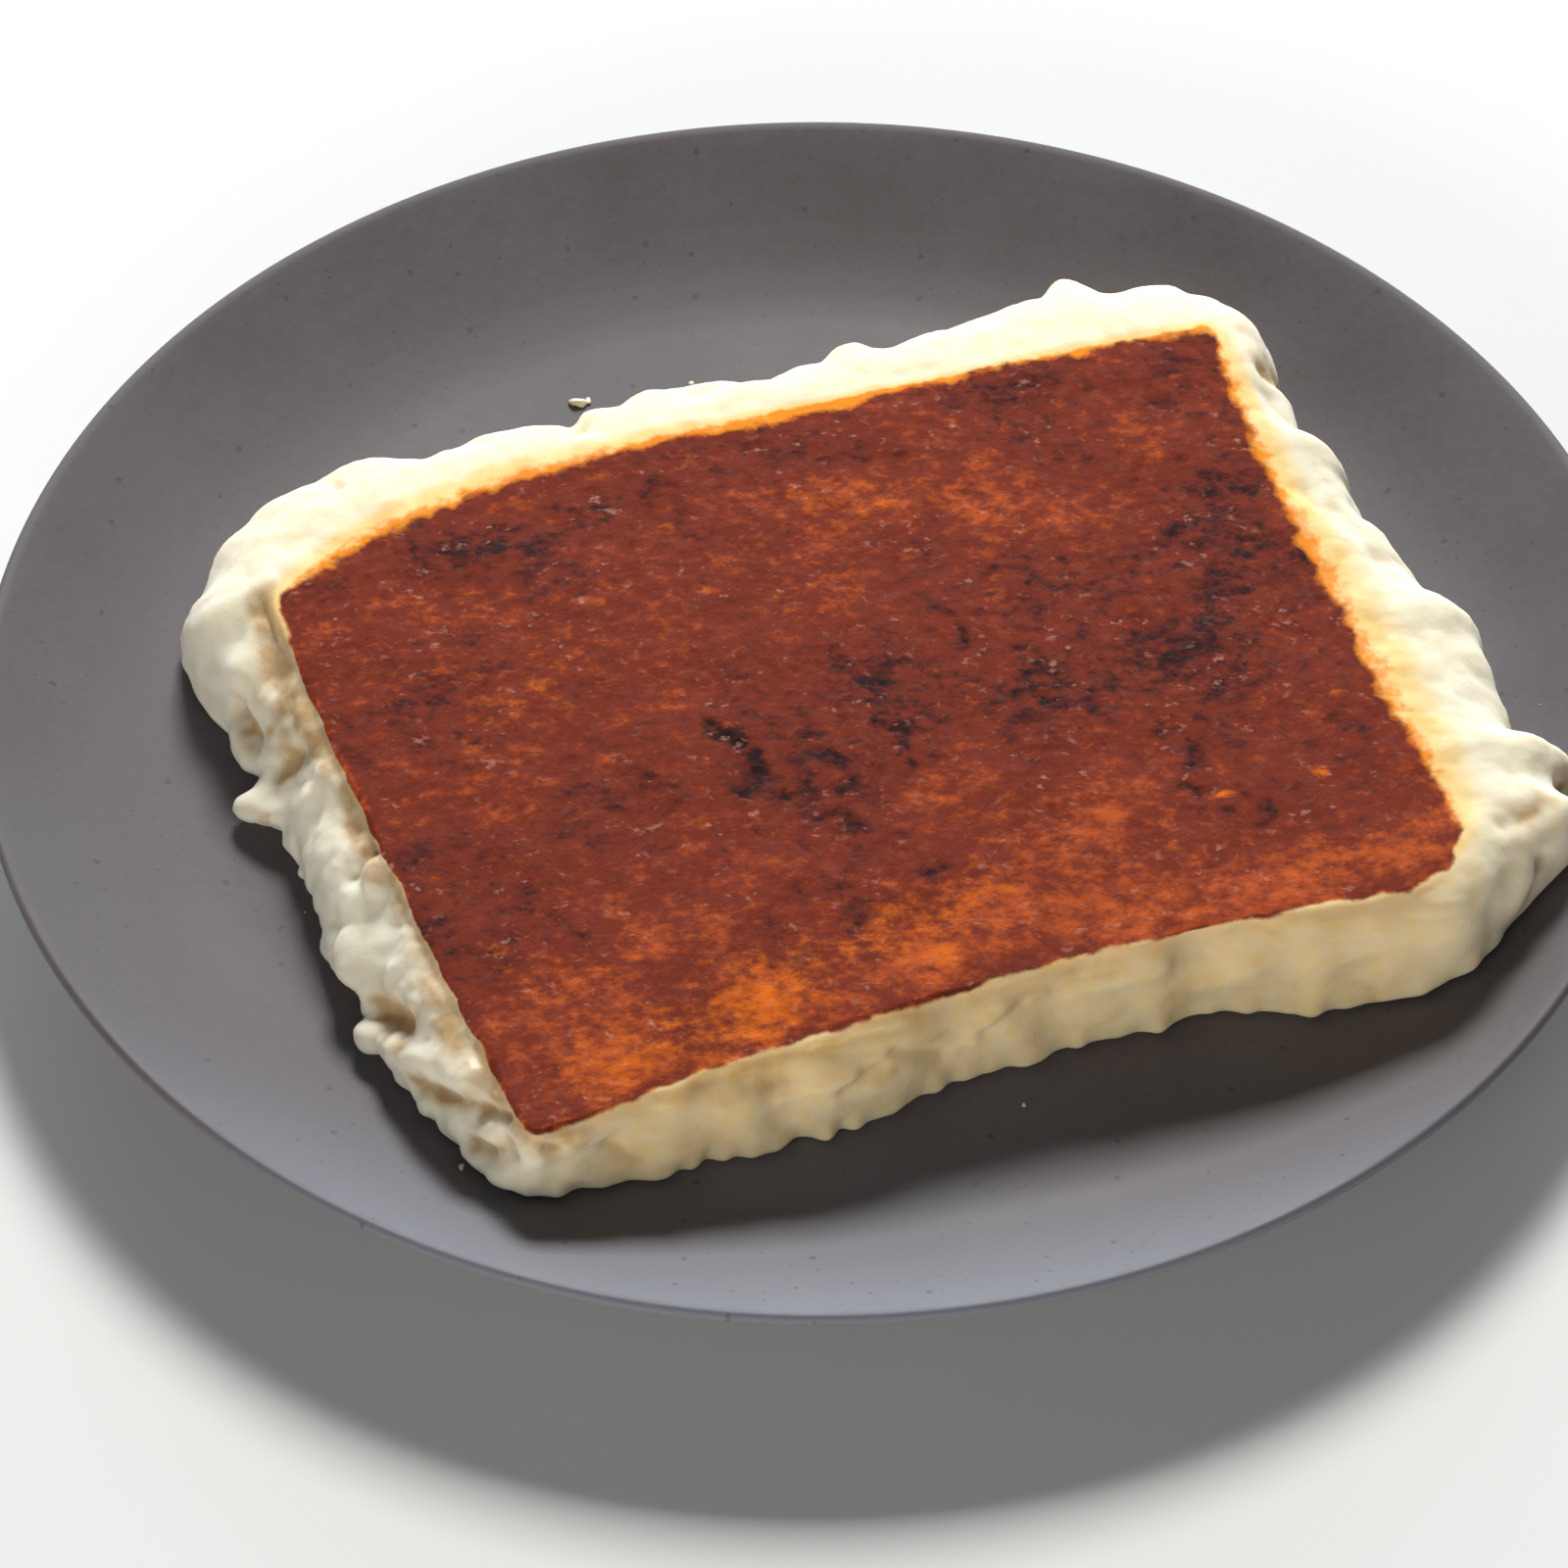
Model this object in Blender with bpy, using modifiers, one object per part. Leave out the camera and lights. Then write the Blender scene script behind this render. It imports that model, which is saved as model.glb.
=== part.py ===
"""A portion of kazandibi, browned milk pudding, lying browned side up on a round stoneware plate.

Run it with: blender --background --python part.py
Metres, +Z up. The origin is the centre of the plate's foot, on the table.
"""

import math

import bmesh
import bpy
from mathutils import Vector, noise

# Plate: a shallow round dish with a flat well, a rising rim and a foot ring.
PLATE_RADIUS = 0.100
PLATE_HEIGHT = 0.016
WELL_RADIUS = 0.072
WELL_FLOOR_Z = 0.0075
WALL_THICKNESS = 0.0045
RIM_CURVE = 0.6  # 0 gives a parabola, 0.5 and more a rim that flattens out towards the lip
LIP_RADIUS = 0.0008
LIP_SWEEP = 160  # degrees of the lip that are round
FOOT_OUTER_RADIUS = 0.060
FOOT_WIDTH = 0.0045
FOOT_FLARE = 0.0025  # how far the foot ring's sides slope out to meet the plate
FOOT_ROUNDING = 0.0005
CENTRE_THICKENING = 0.0006
PLATE_SEGMENTS = 96
RIM_STEPS = 7
LIP_STEPS = 5

# Pudding: the browned face is a hand-cut quadrilateral, its corners given as x, y, z.
CORNER_BACK_LEFT = (-0.0643, 0.0080, 0.0225)
CORNER_BACK_RIGHT = (0.0484, 0.0541, 0.0245)
CORNER_FRONT_RIGHT = (0.0774, -0.0382, 0.0245)
CORNER_FRONT_LEFT = (-0.0329, -0.0758, 0.0210)
CORNER_RADII = (0.0015, 0.0020, 0.0110, 0.0015)  # in the same order
FACE_LENGTH = 0.119
FACE_WIDTH = 0.093
BACK_EDGE_BOW = 0.0084  # outwards
BACK_BOW_SKEW = 0.6
RIGHT_EDGE_BOW = -0.0022
RIGHT_BOW_SKEW = 0.6
FRONT_EDGE_BOW = -0.0046
LEFT_EDGE_BOW = 0.0009
FACE_DOME = 0.0008  # how much higher the middle of the face is
FACE_RELIEF = 0.0004  # of the browned face, up and down
FACE_RELIEF_SPACING = 0.009
CORNER_FAN = 0.10  # how far along a side, as a share of it, a corner's turn is spread

# How far the soft pudding spreads past the browned face at stations round it, seven to a side,
# from the back left corner along the back, the right, the front and the left.
SPREADS = (
    0.0125, 0.0185, 0.0148, 0.0150, 0.0140, 0.0150, 0.0175,
    0.0105, 0.0084, 0.0106, 0.0145, 0.0172, 0.0160, 0.0158,
    0.0063, 0.0035, 0.0007, 0.0017, 0.0021, 0.0045, 0.0023,
    0.0018, 0.0058, 0.0073, 0.0072, 0.0064, 0.0073, 0.0070,
)
# Torn tips of the foot: station round the face, extra reach, half width as a share of a side.
TORN_TIPS = (
    (0.075, 0.0022, 0.035),
    (0.885, 0.0045, 0.022),
    (0.945, 0.0035, 0.025),
    (1.225, 0.0030, 0.035),
    (1.790, 0.0045, 0.030),
    (1.880, 0.0030, 0.030),
    (3.080, 0.0012, 0.022),
    (3.345, 0.0016, 0.022),
    (3.495, 0.0016, 0.028),
    (3.785, 0.0038, 0.028),
)
# How far the tips keep to the foot on the back, the right, the front and the left: 0 is the full height.
TIP_LOWNESS = (0.0, 0.3, 0.5, 1.0)
# How far down the side a low tip begins to stand out.
TIP_START = 0.6
# The section of each side, from the browned edge down to the plate: reach grows as sin ** REACH_POWER
# and height falls as cos ** FALL_POWER. Low powers give a rounded shoulder, high ones a slumped cut face.
REACH_POWERS = (0.85, 0.85, 0.95, 1.45)
FALL_POWERS = (0.75, 0.75, 0.60, 1.15)

RAGGED_REACH = 0.0011  # of the foot's outline, in and out
RAGGED_SPACING = 0.0060
LUMP_HEIGHT = 0.0014  # of the torn sides' surface, in and out
LUMP_SPACING = 0.0075

LIFT = 0.0004  # clearance between the pudding and the plate
EDGE_THICKNESS = 0.0014  # of the ragged foot where it meets the plate
UNDERCUT = 0.0016  # how far the underside's edge lies inside the ragged foot
UNDERSIDE_RINGS = (0.0, 0.07, 0.25)  # the underside's outlines, as shares of the way to its middle

FACE_COLUMNS = 54
FACE_ROWS = 40
SIDE_ROWS = 9
SHARP_ANGLE = 50  # degrees between faces past which the pudding's edges look sharp


def clear_scene():
    for obj in list(bpy.data.objects):
        bpy.data.objects.remove(obj)


def new_collection(name):
    collection = bpy.data.collections.new(name)
    bpy.context.scene.collection.children.link(collection)
    return collection


def principled(name, color, roughness, metallic=0.0, subsurface=0.0):
    material = bpy.data.materials.new(name)
    material.use_nodes = True
    shader = material.node_tree.nodes["Principled BSDF"]
    shader.inputs["Base Color"].default_value = (*color, 1.0)
    shader.inputs["Roughness"].default_value = roughness
    shader.inputs["Metallic"].default_value = metallic
    shader.inputs["Subsurface Weight"].default_value = subsurface
    return material


def mix(a, b, share):
    return a + (b - a) * share


def smooth_step(share):
    share = min(max(share, 0.0), 1.0)
    return share * share * (3.0 - 2.0 * share)


# ---------------------------------------------------------------- plate


def plate_top(radius):
    """Height of the plate's upper surface at a distance from its centre."""
    rim_radius = PLATE_RADIUS - LIP_RADIUS
    share = min(max((radius - WELL_RADIUS) / (rim_radius - WELL_RADIUS), 0.0), 1.0)
    rise = PLATE_HEIGHT - WELL_FLOOR_Z
    return WELL_FLOOR_Z + rise * ((1.0 + RIM_CURVE) * share ** 2 - RIM_CURVE * share ** 3)


def plate_profile():
    """Half section from the well's centre out over the lip and back under the foot to the axis."""
    rim_radius = PLATE_RADIUS - LIP_RADIUS
    points = [(0.0, WELL_FLOOR_Z)]
    for step in range(RIM_STEPS):
        radius = mix(WELL_RADIUS, rim_radius - LIP_RADIUS, step / (RIM_STEPS - 1))
        points.append((radius, plate_top(radius)))
    for step in range(LIP_STEPS):
        angle = math.radians(LIP_SWEEP * (0.5 - step / (LIP_STEPS - 1)))
        points.append((rim_radius + LIP_RADIUS * math.cos(angle),
                       PLATE_HEIGHT - LIP_RADIUS + LIP_RADIUS * math.sin(angle)))
    for step in range(RIM_STEPS - 2, 0, -1):
        share = step / (RIM_STEPS - 1)
        radius = mix(WELL_RADIUS, rim_radius, share)
        points.append((radius, plate_top(radius) - mix(WALL_THICKNESS, 2.0 * LIP_RADIUS, share ** 2)))
    under_z = WELL_FLOOR_Z - WALL_THICKNESS
    centre_z = under_z - CENTRE_THICKENING
    foot_inner_radius = FOOT_OUTER_RADIUS - FOOT_WIDTH
    points += [
        (FOOT_OUTER_RADIUS + FOOT_FLARE, under_z),
        (FOOT_OUTER_RADIUS, FOOT_ROUNDING),
        (FOOT_OUTER_RADIUS - FOOT_ROUNDING, 0.0),
        (foot_inner_radius + FOOT_ROUNDING, 0.0),
        (foot_inner_radius, FOOT_ROUNDING),
        (foot_inner_radius - 0.5 * FOOT_FLARE, centre_z),
        (0.0, centre_z),
    ]
    return points


def make_plate(collection):
    mesh = bpy.data.meshes.new("plate")
    points = [Vector((radius, 0.0, height)) for radius, height in plate_profile()]
    edges = [(index, index + 1) for index in range(len(points) - 1)]
    mesh.from_pydata(points, edges, [])
    plate = bpy.data.objects.new("plate", mesh)
    collection.objects.link(plate)
    turn = plate.modifiers.new("turn", "SCREW")
    turn.steps = turn.render_steps = PLATE_SEGMENTS
    turn.use_merge_vertices = True
    turn.merge_threshold = 0.00001
    plate.data.materials.append(principled("stoneware", (0.16, 0.155, 0.16), 0.6))
    return plate


# ---------------------------------------------------------------- pudding


def bowed(start, end, share, bow, skew=1.0):
    """A point on a level edge between two corners that bulges to its left by up to bow."""
    start, end = Vector(start), Vector(end)
    along = end - start
    sideways = Vector((-along.y, along.x, 0.0)).normalized()
    return start + along * share + sideways * bow * math.sin(math.pi * share ** skew)


def round_corner(across, down):
    """Shares of the face with each corner of the unit square drawn in onto an arc."""
    for right, front, radius in zip((0, 1, 1, 0), (0, 0, 1, 1), CORNER_RADII):
        p = abs(right - across) * FACE_LENGTH / radius
        q = abs(front - down) * FACE_WIDTH / radius
        if p < 1.0 and q < 1.0:
            new_p = 1.0 - (1.0 - p) * math.sqrt(1.0 - (1.0 - q) ** 2 / 2.0)
            new_q = 1.0 - (1.0 - q) * math.sqrt(1.0 - (1.0 - p) ** 2 / 2.0)
            return (abs(right - new_p * radius / FACE_LENGTH), abs(front - new_q * radius / FACE_WIDTH))
    return across, down


def face_point(across, down):
    """A point of the browned face: across from left to right, down from the back edge to the front."""
    across, down = round_corner(across, down)
    back = bowed(CORNER_BACK_LEFT, CORNER_BACK_RIGHT, across, BACK_EDGE_BOW, BACK_BOW_SKEW)
    front = bowed(CORNER_FRONT_LEFT, CORNER_FRONT_RIGHT, across, -FRONT_EDGE_BOW)
    point = back.lerp(front, down)
    point.x += RIGHT_EDGE_BOW * across * math.sin(math.pi * down ** RIGHT_BOW_SKEW)
    point.x -= LEFT_EDGE_BOW * (1.0 - across) * math.sin(math.pi * down)
    point.z += FACE_DOME * math.sin(math.pi * across) * math.sin(math.pi * down)
    point.z += FACE_RELIEF * noise.noise(point / FACE_RELIEF_SPACING)
    return point


def perimeter_point(station):
    """A point on the browned face's outline. Stations run 0 to 4 clockwise from the back left corner."""
    side, share = int(station) % 4, station % 1.0
    if side == 0:
        return face_point(share, 0.0)
    if side == 1:
        return face_point(1.0, share)
    if side == 2:
        return face_point(1.0 - share, 1.0)
    return face_point(0.0, 1.0 - share)


def outward(station):
    """Level unit vector pointing away from the face, its turn at a corner spread over CORNER_FAN."""
    before = perimeter_point((station - CORNER_FAN) % 4.0)
    after = perimeter_point((station + CORNER_FAN) % 4.0)
    along = after - before
    return Vector((-along.y, along.x, 0.0)).normalized()


def round_trip(values, station):
    """A smooth closed curve through values spaced evenly over the four sides (Catmull-Rom)."""
    place = station / 4.0 * len(values)
    index, share = int(place), place % 1.0
    a, b, c, d = (values[(index + offset) % len(values)] for offset in (-1, 0, 1, 2))
    return 0.5 * (2 * b + (c - a) * share + (2 * a - 5 * b + 4 * c - d) * share ** 2
                  + (3 * b - a - 3 * c + d) * share ** 3)


def side_value(values, station):
    """One value for each side, blended round the corners."""
    place = (station - 0.5) % 4.0
    index, share = int(place), place % 1.0
    return mix(values[index], values[(index + 1) % 4], smooth_step((share - 0.5) * 4.0 + 0.5))


def main_spread(station):
    """How far past the browned edge the foot's ragged line lies, without its torn tips."""
    ragged = noise.noise(perimeter_point(station) / RAGGED_SPACING)
    return round_trip(SPREADS, station) + RAGGED_REACH * ragged


def torn_reach(station):
    """How much further the torn tips reach."""
    total = 0.0
    for place, reach, width in TORN_TIPS:
        away = abs(station - place)
        total += reach * math.exp(-(min(away, 4.0 - away) / width) ** 2)
    return total


def side_point(station, descent):
    """A point of the pudding's side, descent 0 at the browned edge and 1 at the ragged foot."""
    edge = perimeter_point(station)
    direction = outward(station)
    torn = torn_reach(station)
    foot = edge + direction * (main_spread(station) + torn)
    foot_z = plate_top(math.hypot(foot.x, foot.y)) + LIFT + EDGE_THICKNESS
    turn = descent * math.pi / 2
    low_share = smooth_step((descent - TIP_START) / (1.0 - TIP_START))
    spread = main_spread(station) + torn * mix(1.0, low_share, side_value(TIP_LOWNESS, station))
    reach = math.sin(turn) ** side_value(REACH_POWERS, station)
    height = math.cos(turn) ** side_value(FALL_POWERS, station) if descent < 1.0 else 0.0
    point = edge + direction * spread * reach
    point.z = mix(foot_z, edge.z, height)
    lump = LUMP_HEIGHT * math.sin(math.pi * descent) * noise.noise(point / LUMP_SPACING)
    return point + direction * lump


def under_point(station, inwards):
    """A point under the pudding, just inside the ragged foot or a share of the way to the middle."""
    reach = main_spread(station) + torn_reach(station) - UNDERCUT
    edge = perimeter_point(station) + outward(station) * reach
    point = edge.lerp(face_point(0.5, 0.5), inwards)
    point.z = plate_top(math.hypot(point.x, point.y)) + LIFT
    return point


def border_station(column, row, columns, rows):
    """The station of a crossing on the border of a grid of columns and rows."""
    if row == 0:
        return column / columns
    if column == columns:
        return 1.0 + row / rows
    if row == rows:
        return 3.0 - column / columns
    return 4.0 - row / rows


def shaped(column, row, layer):
    """Where a crossing of the block's grid goes: layer 0 is the browned face, SIDE_ROWS the underside."""
    if layer == 0:
        return face_point(column / FACE_COLUMNS, row / FACE_ROWS)
    if layer < SIDE_ROWS:
        station = border_station(column, row, FACE_COLUMNS, FACE_ROWS)
        return side_point(station, layer / (SIDE_ROWS - 1))
    ring = min(column, row, FACE_COLUMNS - column, FACE_ROWS - row)
    station = border_station(column - ring, row - ring, FACE_COLUMNS - 2 * ring, FACE_ROWS - 2 * ring)
    return under_point(station, UNDERSIDE_RINGS[ring])


def cut_block():
    """A block of unit cells, its underside left whole inside the innermost ring."""
    grid = bmesh.new()
    bmesh.ops.create_cube(grid, size=1.0)
    bmesh.ops.translate(grid, verts=grid.verts, vec=(0.5, 0.5, 0.5))
    cells = (FACE_COLUMNS, FACE_ROWS, SIDE_ROWS)
    bmesh.ops.scale(grid, verts=grid.verts, vec=cells)
    for axis, pieces in enumerate(cells):
        edges = [edge for edge in grid.edges
                 if abs(edge.verts[0].co[axis] - edge.verts[1].co[axis]) > pieces / 2]
        bmesh.ops.subdivide_edges(grid, edges=edges, cuts=pieces - 1, use_grid_fill=True)
    inside = len(UNDERSIDE_RINGS) - 1
    middle = []
    for face in grid.faces:
        x, y, z = face.calc_center_median()
        if z < 0.1 and inside < x < FACE_COLUMNS - inside and inside < y < FACE_ROWS - inside:
            middle.append(face)
    bmesh.ops.dissolve_faces(grid, faces=middle, use_verts=True)
    return grid


def make_pudding(collection):
    grid = cut_block()
    for vertex in grid.verts:
        column, back, height = (round(value) for value in vertex.co)
        vertex.co = shaped(column, FACE_ROWS - back, SIDE_ROWS - height)
    mesh = bpy.data.meshes.new("kazandibi")
    grid.to_mesh(mesh)
    grid.free()
    mesh.shade_smooth()
    mesh.set_sharp_from_angle(angle=math.radians(SHARP_ANGLE))
    pudding = bpy.data.objects.new("kazandibi", mesh)
    collection.objects.link(pudding)
    pudding.data.materials.append(principled("milk_pudding", (0.86, 0.78, 0.58), 0.45, subsurface=0.4))
    return pudding


def main():
    clear_scene()
    parts = new_collection("kazandibi_on_plate")
    make_plate(parts)
    make_pudding(parts)


main()
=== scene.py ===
"""Kazandibi, a portion of browned milk pudding, lying browned side up on a round stoneware plate.

Metres, +Z up. The origin is the centre of the plate's foot, on the table.
"""

import math
import random

import bmesh
import bpy
from bpy.props import FloatProperty, FloatVectorProperty, IntProperty, PointerProperty
from bpy.types import Operator, Panel, PropertyGroup
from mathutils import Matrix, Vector, noise


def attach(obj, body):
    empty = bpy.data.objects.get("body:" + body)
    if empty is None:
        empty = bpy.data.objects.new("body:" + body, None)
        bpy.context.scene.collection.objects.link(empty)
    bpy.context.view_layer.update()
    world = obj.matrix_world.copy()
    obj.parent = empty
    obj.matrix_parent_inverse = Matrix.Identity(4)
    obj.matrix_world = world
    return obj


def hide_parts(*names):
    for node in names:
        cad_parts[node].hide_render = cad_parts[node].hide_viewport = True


bl_info = {
    "name": "Kazandibi on a Plate",
    "version": (1, 0, 0),
    "blender": (4, 5, 0),
    "location": "3D View > Sidebar > Kazandibi",
    "description": "Browned milk pudding with torn soft sides, on a round stoneware plate",
    "category": "Object",
}

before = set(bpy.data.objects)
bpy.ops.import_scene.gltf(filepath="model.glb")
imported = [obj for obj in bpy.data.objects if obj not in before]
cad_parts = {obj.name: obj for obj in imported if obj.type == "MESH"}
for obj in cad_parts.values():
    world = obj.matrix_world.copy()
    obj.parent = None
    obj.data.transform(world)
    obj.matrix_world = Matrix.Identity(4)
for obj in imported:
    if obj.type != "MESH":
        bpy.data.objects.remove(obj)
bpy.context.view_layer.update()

BODY = "root"
MILLIMETRE = 0.001

# ---------------------------------------------------------------- sizes shared with the solids

PLATE_RADIUS = 0.100
PLATE_HEIGHT = 0.016
WELL_RADIUS = 0.072
WELL_FLOOR_Z = 0.0075
WALL_THICKNESS = 0.0045
RIM_CURVE = 0.6
LIP_RADIUS = 0.0008
LIP_SWEEP = 160  # degrees of the lip that are round
FOOT_OUTER_RADIUS = 0.060
FOOT_WIDTH = 0.0045
FOOT_FLARE = 0.0025
FOOT_ROUNDING = 0.0005
CENTRE_THICKENING = 0.0006

CORNER_BACK_LEFT = (-0.0643, 0.0080, 0.0225)
CORNER_BACK_RIGHT = (0.0484, 0.0541, 0.0245)
CORNER_FRONT_RIGHT = (0.0774, -0.0382, 0.0245)
CORNER_FRONT_LEFT = (-0.0329, -0.0758, 0.0210)
CORNER_RADII = (0.0015, 0.0020, 0.0110, 0.0015)
FACE_LENGTH = 0.119
FACE_WIDTH = 0.093
BACK_EDGE_BOW = 0.0084
BACK_BOW_SKEW = 0.6
RIGHT_EDGE_BOW = -0.0022
RIGHT_BOW_SKEW = 0.6
FRONT_EDGE_BOW = -0.0046
LEFT_EDGE_BOW = 0.0009
FACE_DOME = 0.0008
FACE_RELIEF = 0.0004
FACE_RELIEF_SPACING = 0.009
CORNER_FAN = 0.10

# How far the soft pudding spreads past the browned face at stations round it, seven to a side,
# from the back left corner along the back, the right, the front and the left.
SPREADS = (
    0.0125, 0.0185, 0.0148, 0.0150, 0.0140, 0.0150, 0.0175,
    0.0105, 0.0084, 0.0106, 0.0145, 0.0172, 0.0160, 0.0158,
    0.0063, 0.0035, 0.0007, 0.0017, 0.0021, 0.0045, 0.0023,
    0.0018, 0.0058, 0.0073, 0.0072, 0.0064, 0.0073, 0.0070,
)
# Torn tips of the foot: station round the face, extra reach, half width as a share of a side.
TORN_TIPS = (
    (0.075, 0.0022, 0.035),
    (0.885, 0.0045, 0.022),
    (0.945, 0.0035, 0.025),
    (1.225, 0.0030, 0.035),
    (1.790, 0.0045, 0.030),
    (1.880, 0.0030, 0.030),
    (3.080, 0.0012, 0.022),
    (3.345, 0.0016, 0.022),
    (3.495, 0.0016, 0.028),
    (3.785, 0.0038, 0.028),
)
REACH_POWERS = (0.85, 0.85, 0.95, 1.45)
FALL_POWERS = (0.75, 0.75, 0.60, 1.15)
RAGGED_REACH = 0.0011
RAGGED_SPACING = 0.0060
LUMP_HEIGHT = 0.0014
LUMP_SPACING = 0.0075
LIFT = 0.0004
EDGE_THICKNESS = 0.0014
UNDERCUT = 0.0016

# ---------------------------------------------------------------- finer shape of the pieces

RIM_STEPS = 26
LIP_STEPS = 13
# Rings left by turning the plate: distance between them, height as a share, and a draw of their own.
TURNED_RINGS = ((0.0031, 1.0, 4.0), (0.0012, 0.5, 9.0))
RESTING_GAP = 0.00005  # between the pudding's underside and the plate
FOOT_STEPS = 6  # rows that round the ragged foot under
UNDER_RINGS = (0.07, 0.25, 0.6)  # the underside's outlines, as shares of the way to its middle
# The foot's fine fringe: how far it goes in and out, its spacing and its height.
FRAY_REACH = 0.0011
FRAY_SPACING = 0.0024
FRAY_HEIGHT = 0.0022

# The strength of the curds on the back, the right, the front and the left side.
CURD_STRENGTHS = (0.40, 0.42, 0.34, 0.66)
# Sizes of curd that are piled up: share of the height and spacing as a share of the curd size.
CURD_MIX = ((0.75, 1.0), (0.40, 0.50), (0.16, 0.26))
CURD_STEEPNESS = 1.7
# The slow swell under the curds and the swirl of their rows: strength, and spacing in curd sizes.
CURD_SWELL = (0.60, 1.4)
CURD_SWIRL = (0.55, 1.5)
CURD_START = 0.0025  # the way down a side over which the curds set in
# The knife dragged the front side along, which draws its curds out by so many times.
FRONT_DRAG = 3.2
DRAGGED_CURD_SIZE = 0.62  # as a share of the other curds' size
DRAGGED_SIDES = (0.0, 0.0, 1.0, 0.0)
FRONT_WAY = (Vector(CORNER_FRONT_RIGHT) - Vector(CORNER_FRONT_LEFT)).normalized()
# How tan the same sides are all over, and how much painted shade lies in the creases between their curds.
TANNING = (0.06, 0.06, 0.08, 0.02)
CREASE_SHADE = (0.20, 0.30, 0.55, 0.70)
CREASE_DEPTH = 0.05  # how far below their middle height the curds begin to take painted shade
CREASE_RATE = 0.9
# How much of the seeping caramel colour the same sides have all over.
WARMTH = (0.34, 0.26, 0.50, 0.06)
# Painted shade on the same sides just below the browned edge, where the crust overhangs them, and how wide
# that band is.
EDGE_SHADE = (0.0, 0.0, 0.30, 1.0)
EDGE_SHADE_WIDTH = 0.0050
# The depth of the groove below the browned edge of the same sides, in millimetres, its place and
# its half width.
GROOVES = (0.0, 0.0, 0.12, 0.40)
GROOVE_PATH = 0.0016
GROOVE_WIDTH = 0.6 * GROOVE_PATH
# How wet the same sides look.
WETNESS = (0.15, 0.20, 0.30, 0.75)
# How far the torn tips of the same sides keep to the foot: 0 is the side's full height.
TIP_LOWNESS = (0.0, 0.3, 0.5, 1.0)
TIP_START = 0.6  # how far down the side a low tip begins to stand out
# How ragged the browned edge is on the same sides, in millimetres.
EDGE_RAGGEDNESS = (1.45, 1.15, 0.50, 0.45)
# How far the browning reaches past the face's edge, in millimetres, at stations as in SPREADS.
EDGE_SHIFTS = (
    -0.6, -0.9, 0.0, -0.3, -1.6, -0.5, -0.4,
    -0.3, -0.4, -0.4, -0.4, -0.2, 0.1, 0.7,
    0.6, 0.1, 0.3, 0.0, 0.9, 0.4, 0.2,
    0.8, 0.7, 0.7, 0.6, 0.9, 0.9, 1.0,
)
# How strong the caramel colour next to the browned edge is on the same sides, together with a painted glow
# of the light behind shining through the thin edge, strongest on the back and right.
SEEPING_AND_GLOW_STRENGTHS = (1.12, 1.08, 0.62, 0.55)
# How far the caramel colour and its painted glow reach into the pudding past the browned edge, in
# millimetres, at stations as in SPREADS.
SEEPING_AND_GLOW = (
    3.0, 6.5, 7.5, 4.5, 2.2, 1.9, 2.4,
    3.5, 5.5, 6.5, 9.0, 10.0, 9.5, 8.0,
    3.0, 1.2, 1.0, 1.0, 1.2, 1.2, 1.0,
    0.6, 0.4, 0.3, 0.3, 0.3, 0.4, 0.8,
)
LEAST_SEEPING_AND_GLOW = 0.3
CRUST_MARGIN = 1.4  # how far inside the edge the crust's own material begins, in millimetres

# The crust's wrinkles, its grains and the patches that are wrinkled: spacing in metres, height or
# strength (heights in millimetres). The wrinkles bend by a swirl.
WRINKLES = (0.0032, 0.18)
WRINKLE_SHARPNESS = 4
GRAINS = ((0.0019, 0.085), (0.0010, 0.0595))
WRINKLED_PATCHES = (0.013, 1.4)
WRINKLE_SWIRL = (0.006, 0.8)
RELIEF_START = 0.0015  # the way in from the edge over which the crust's relief sets in

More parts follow.
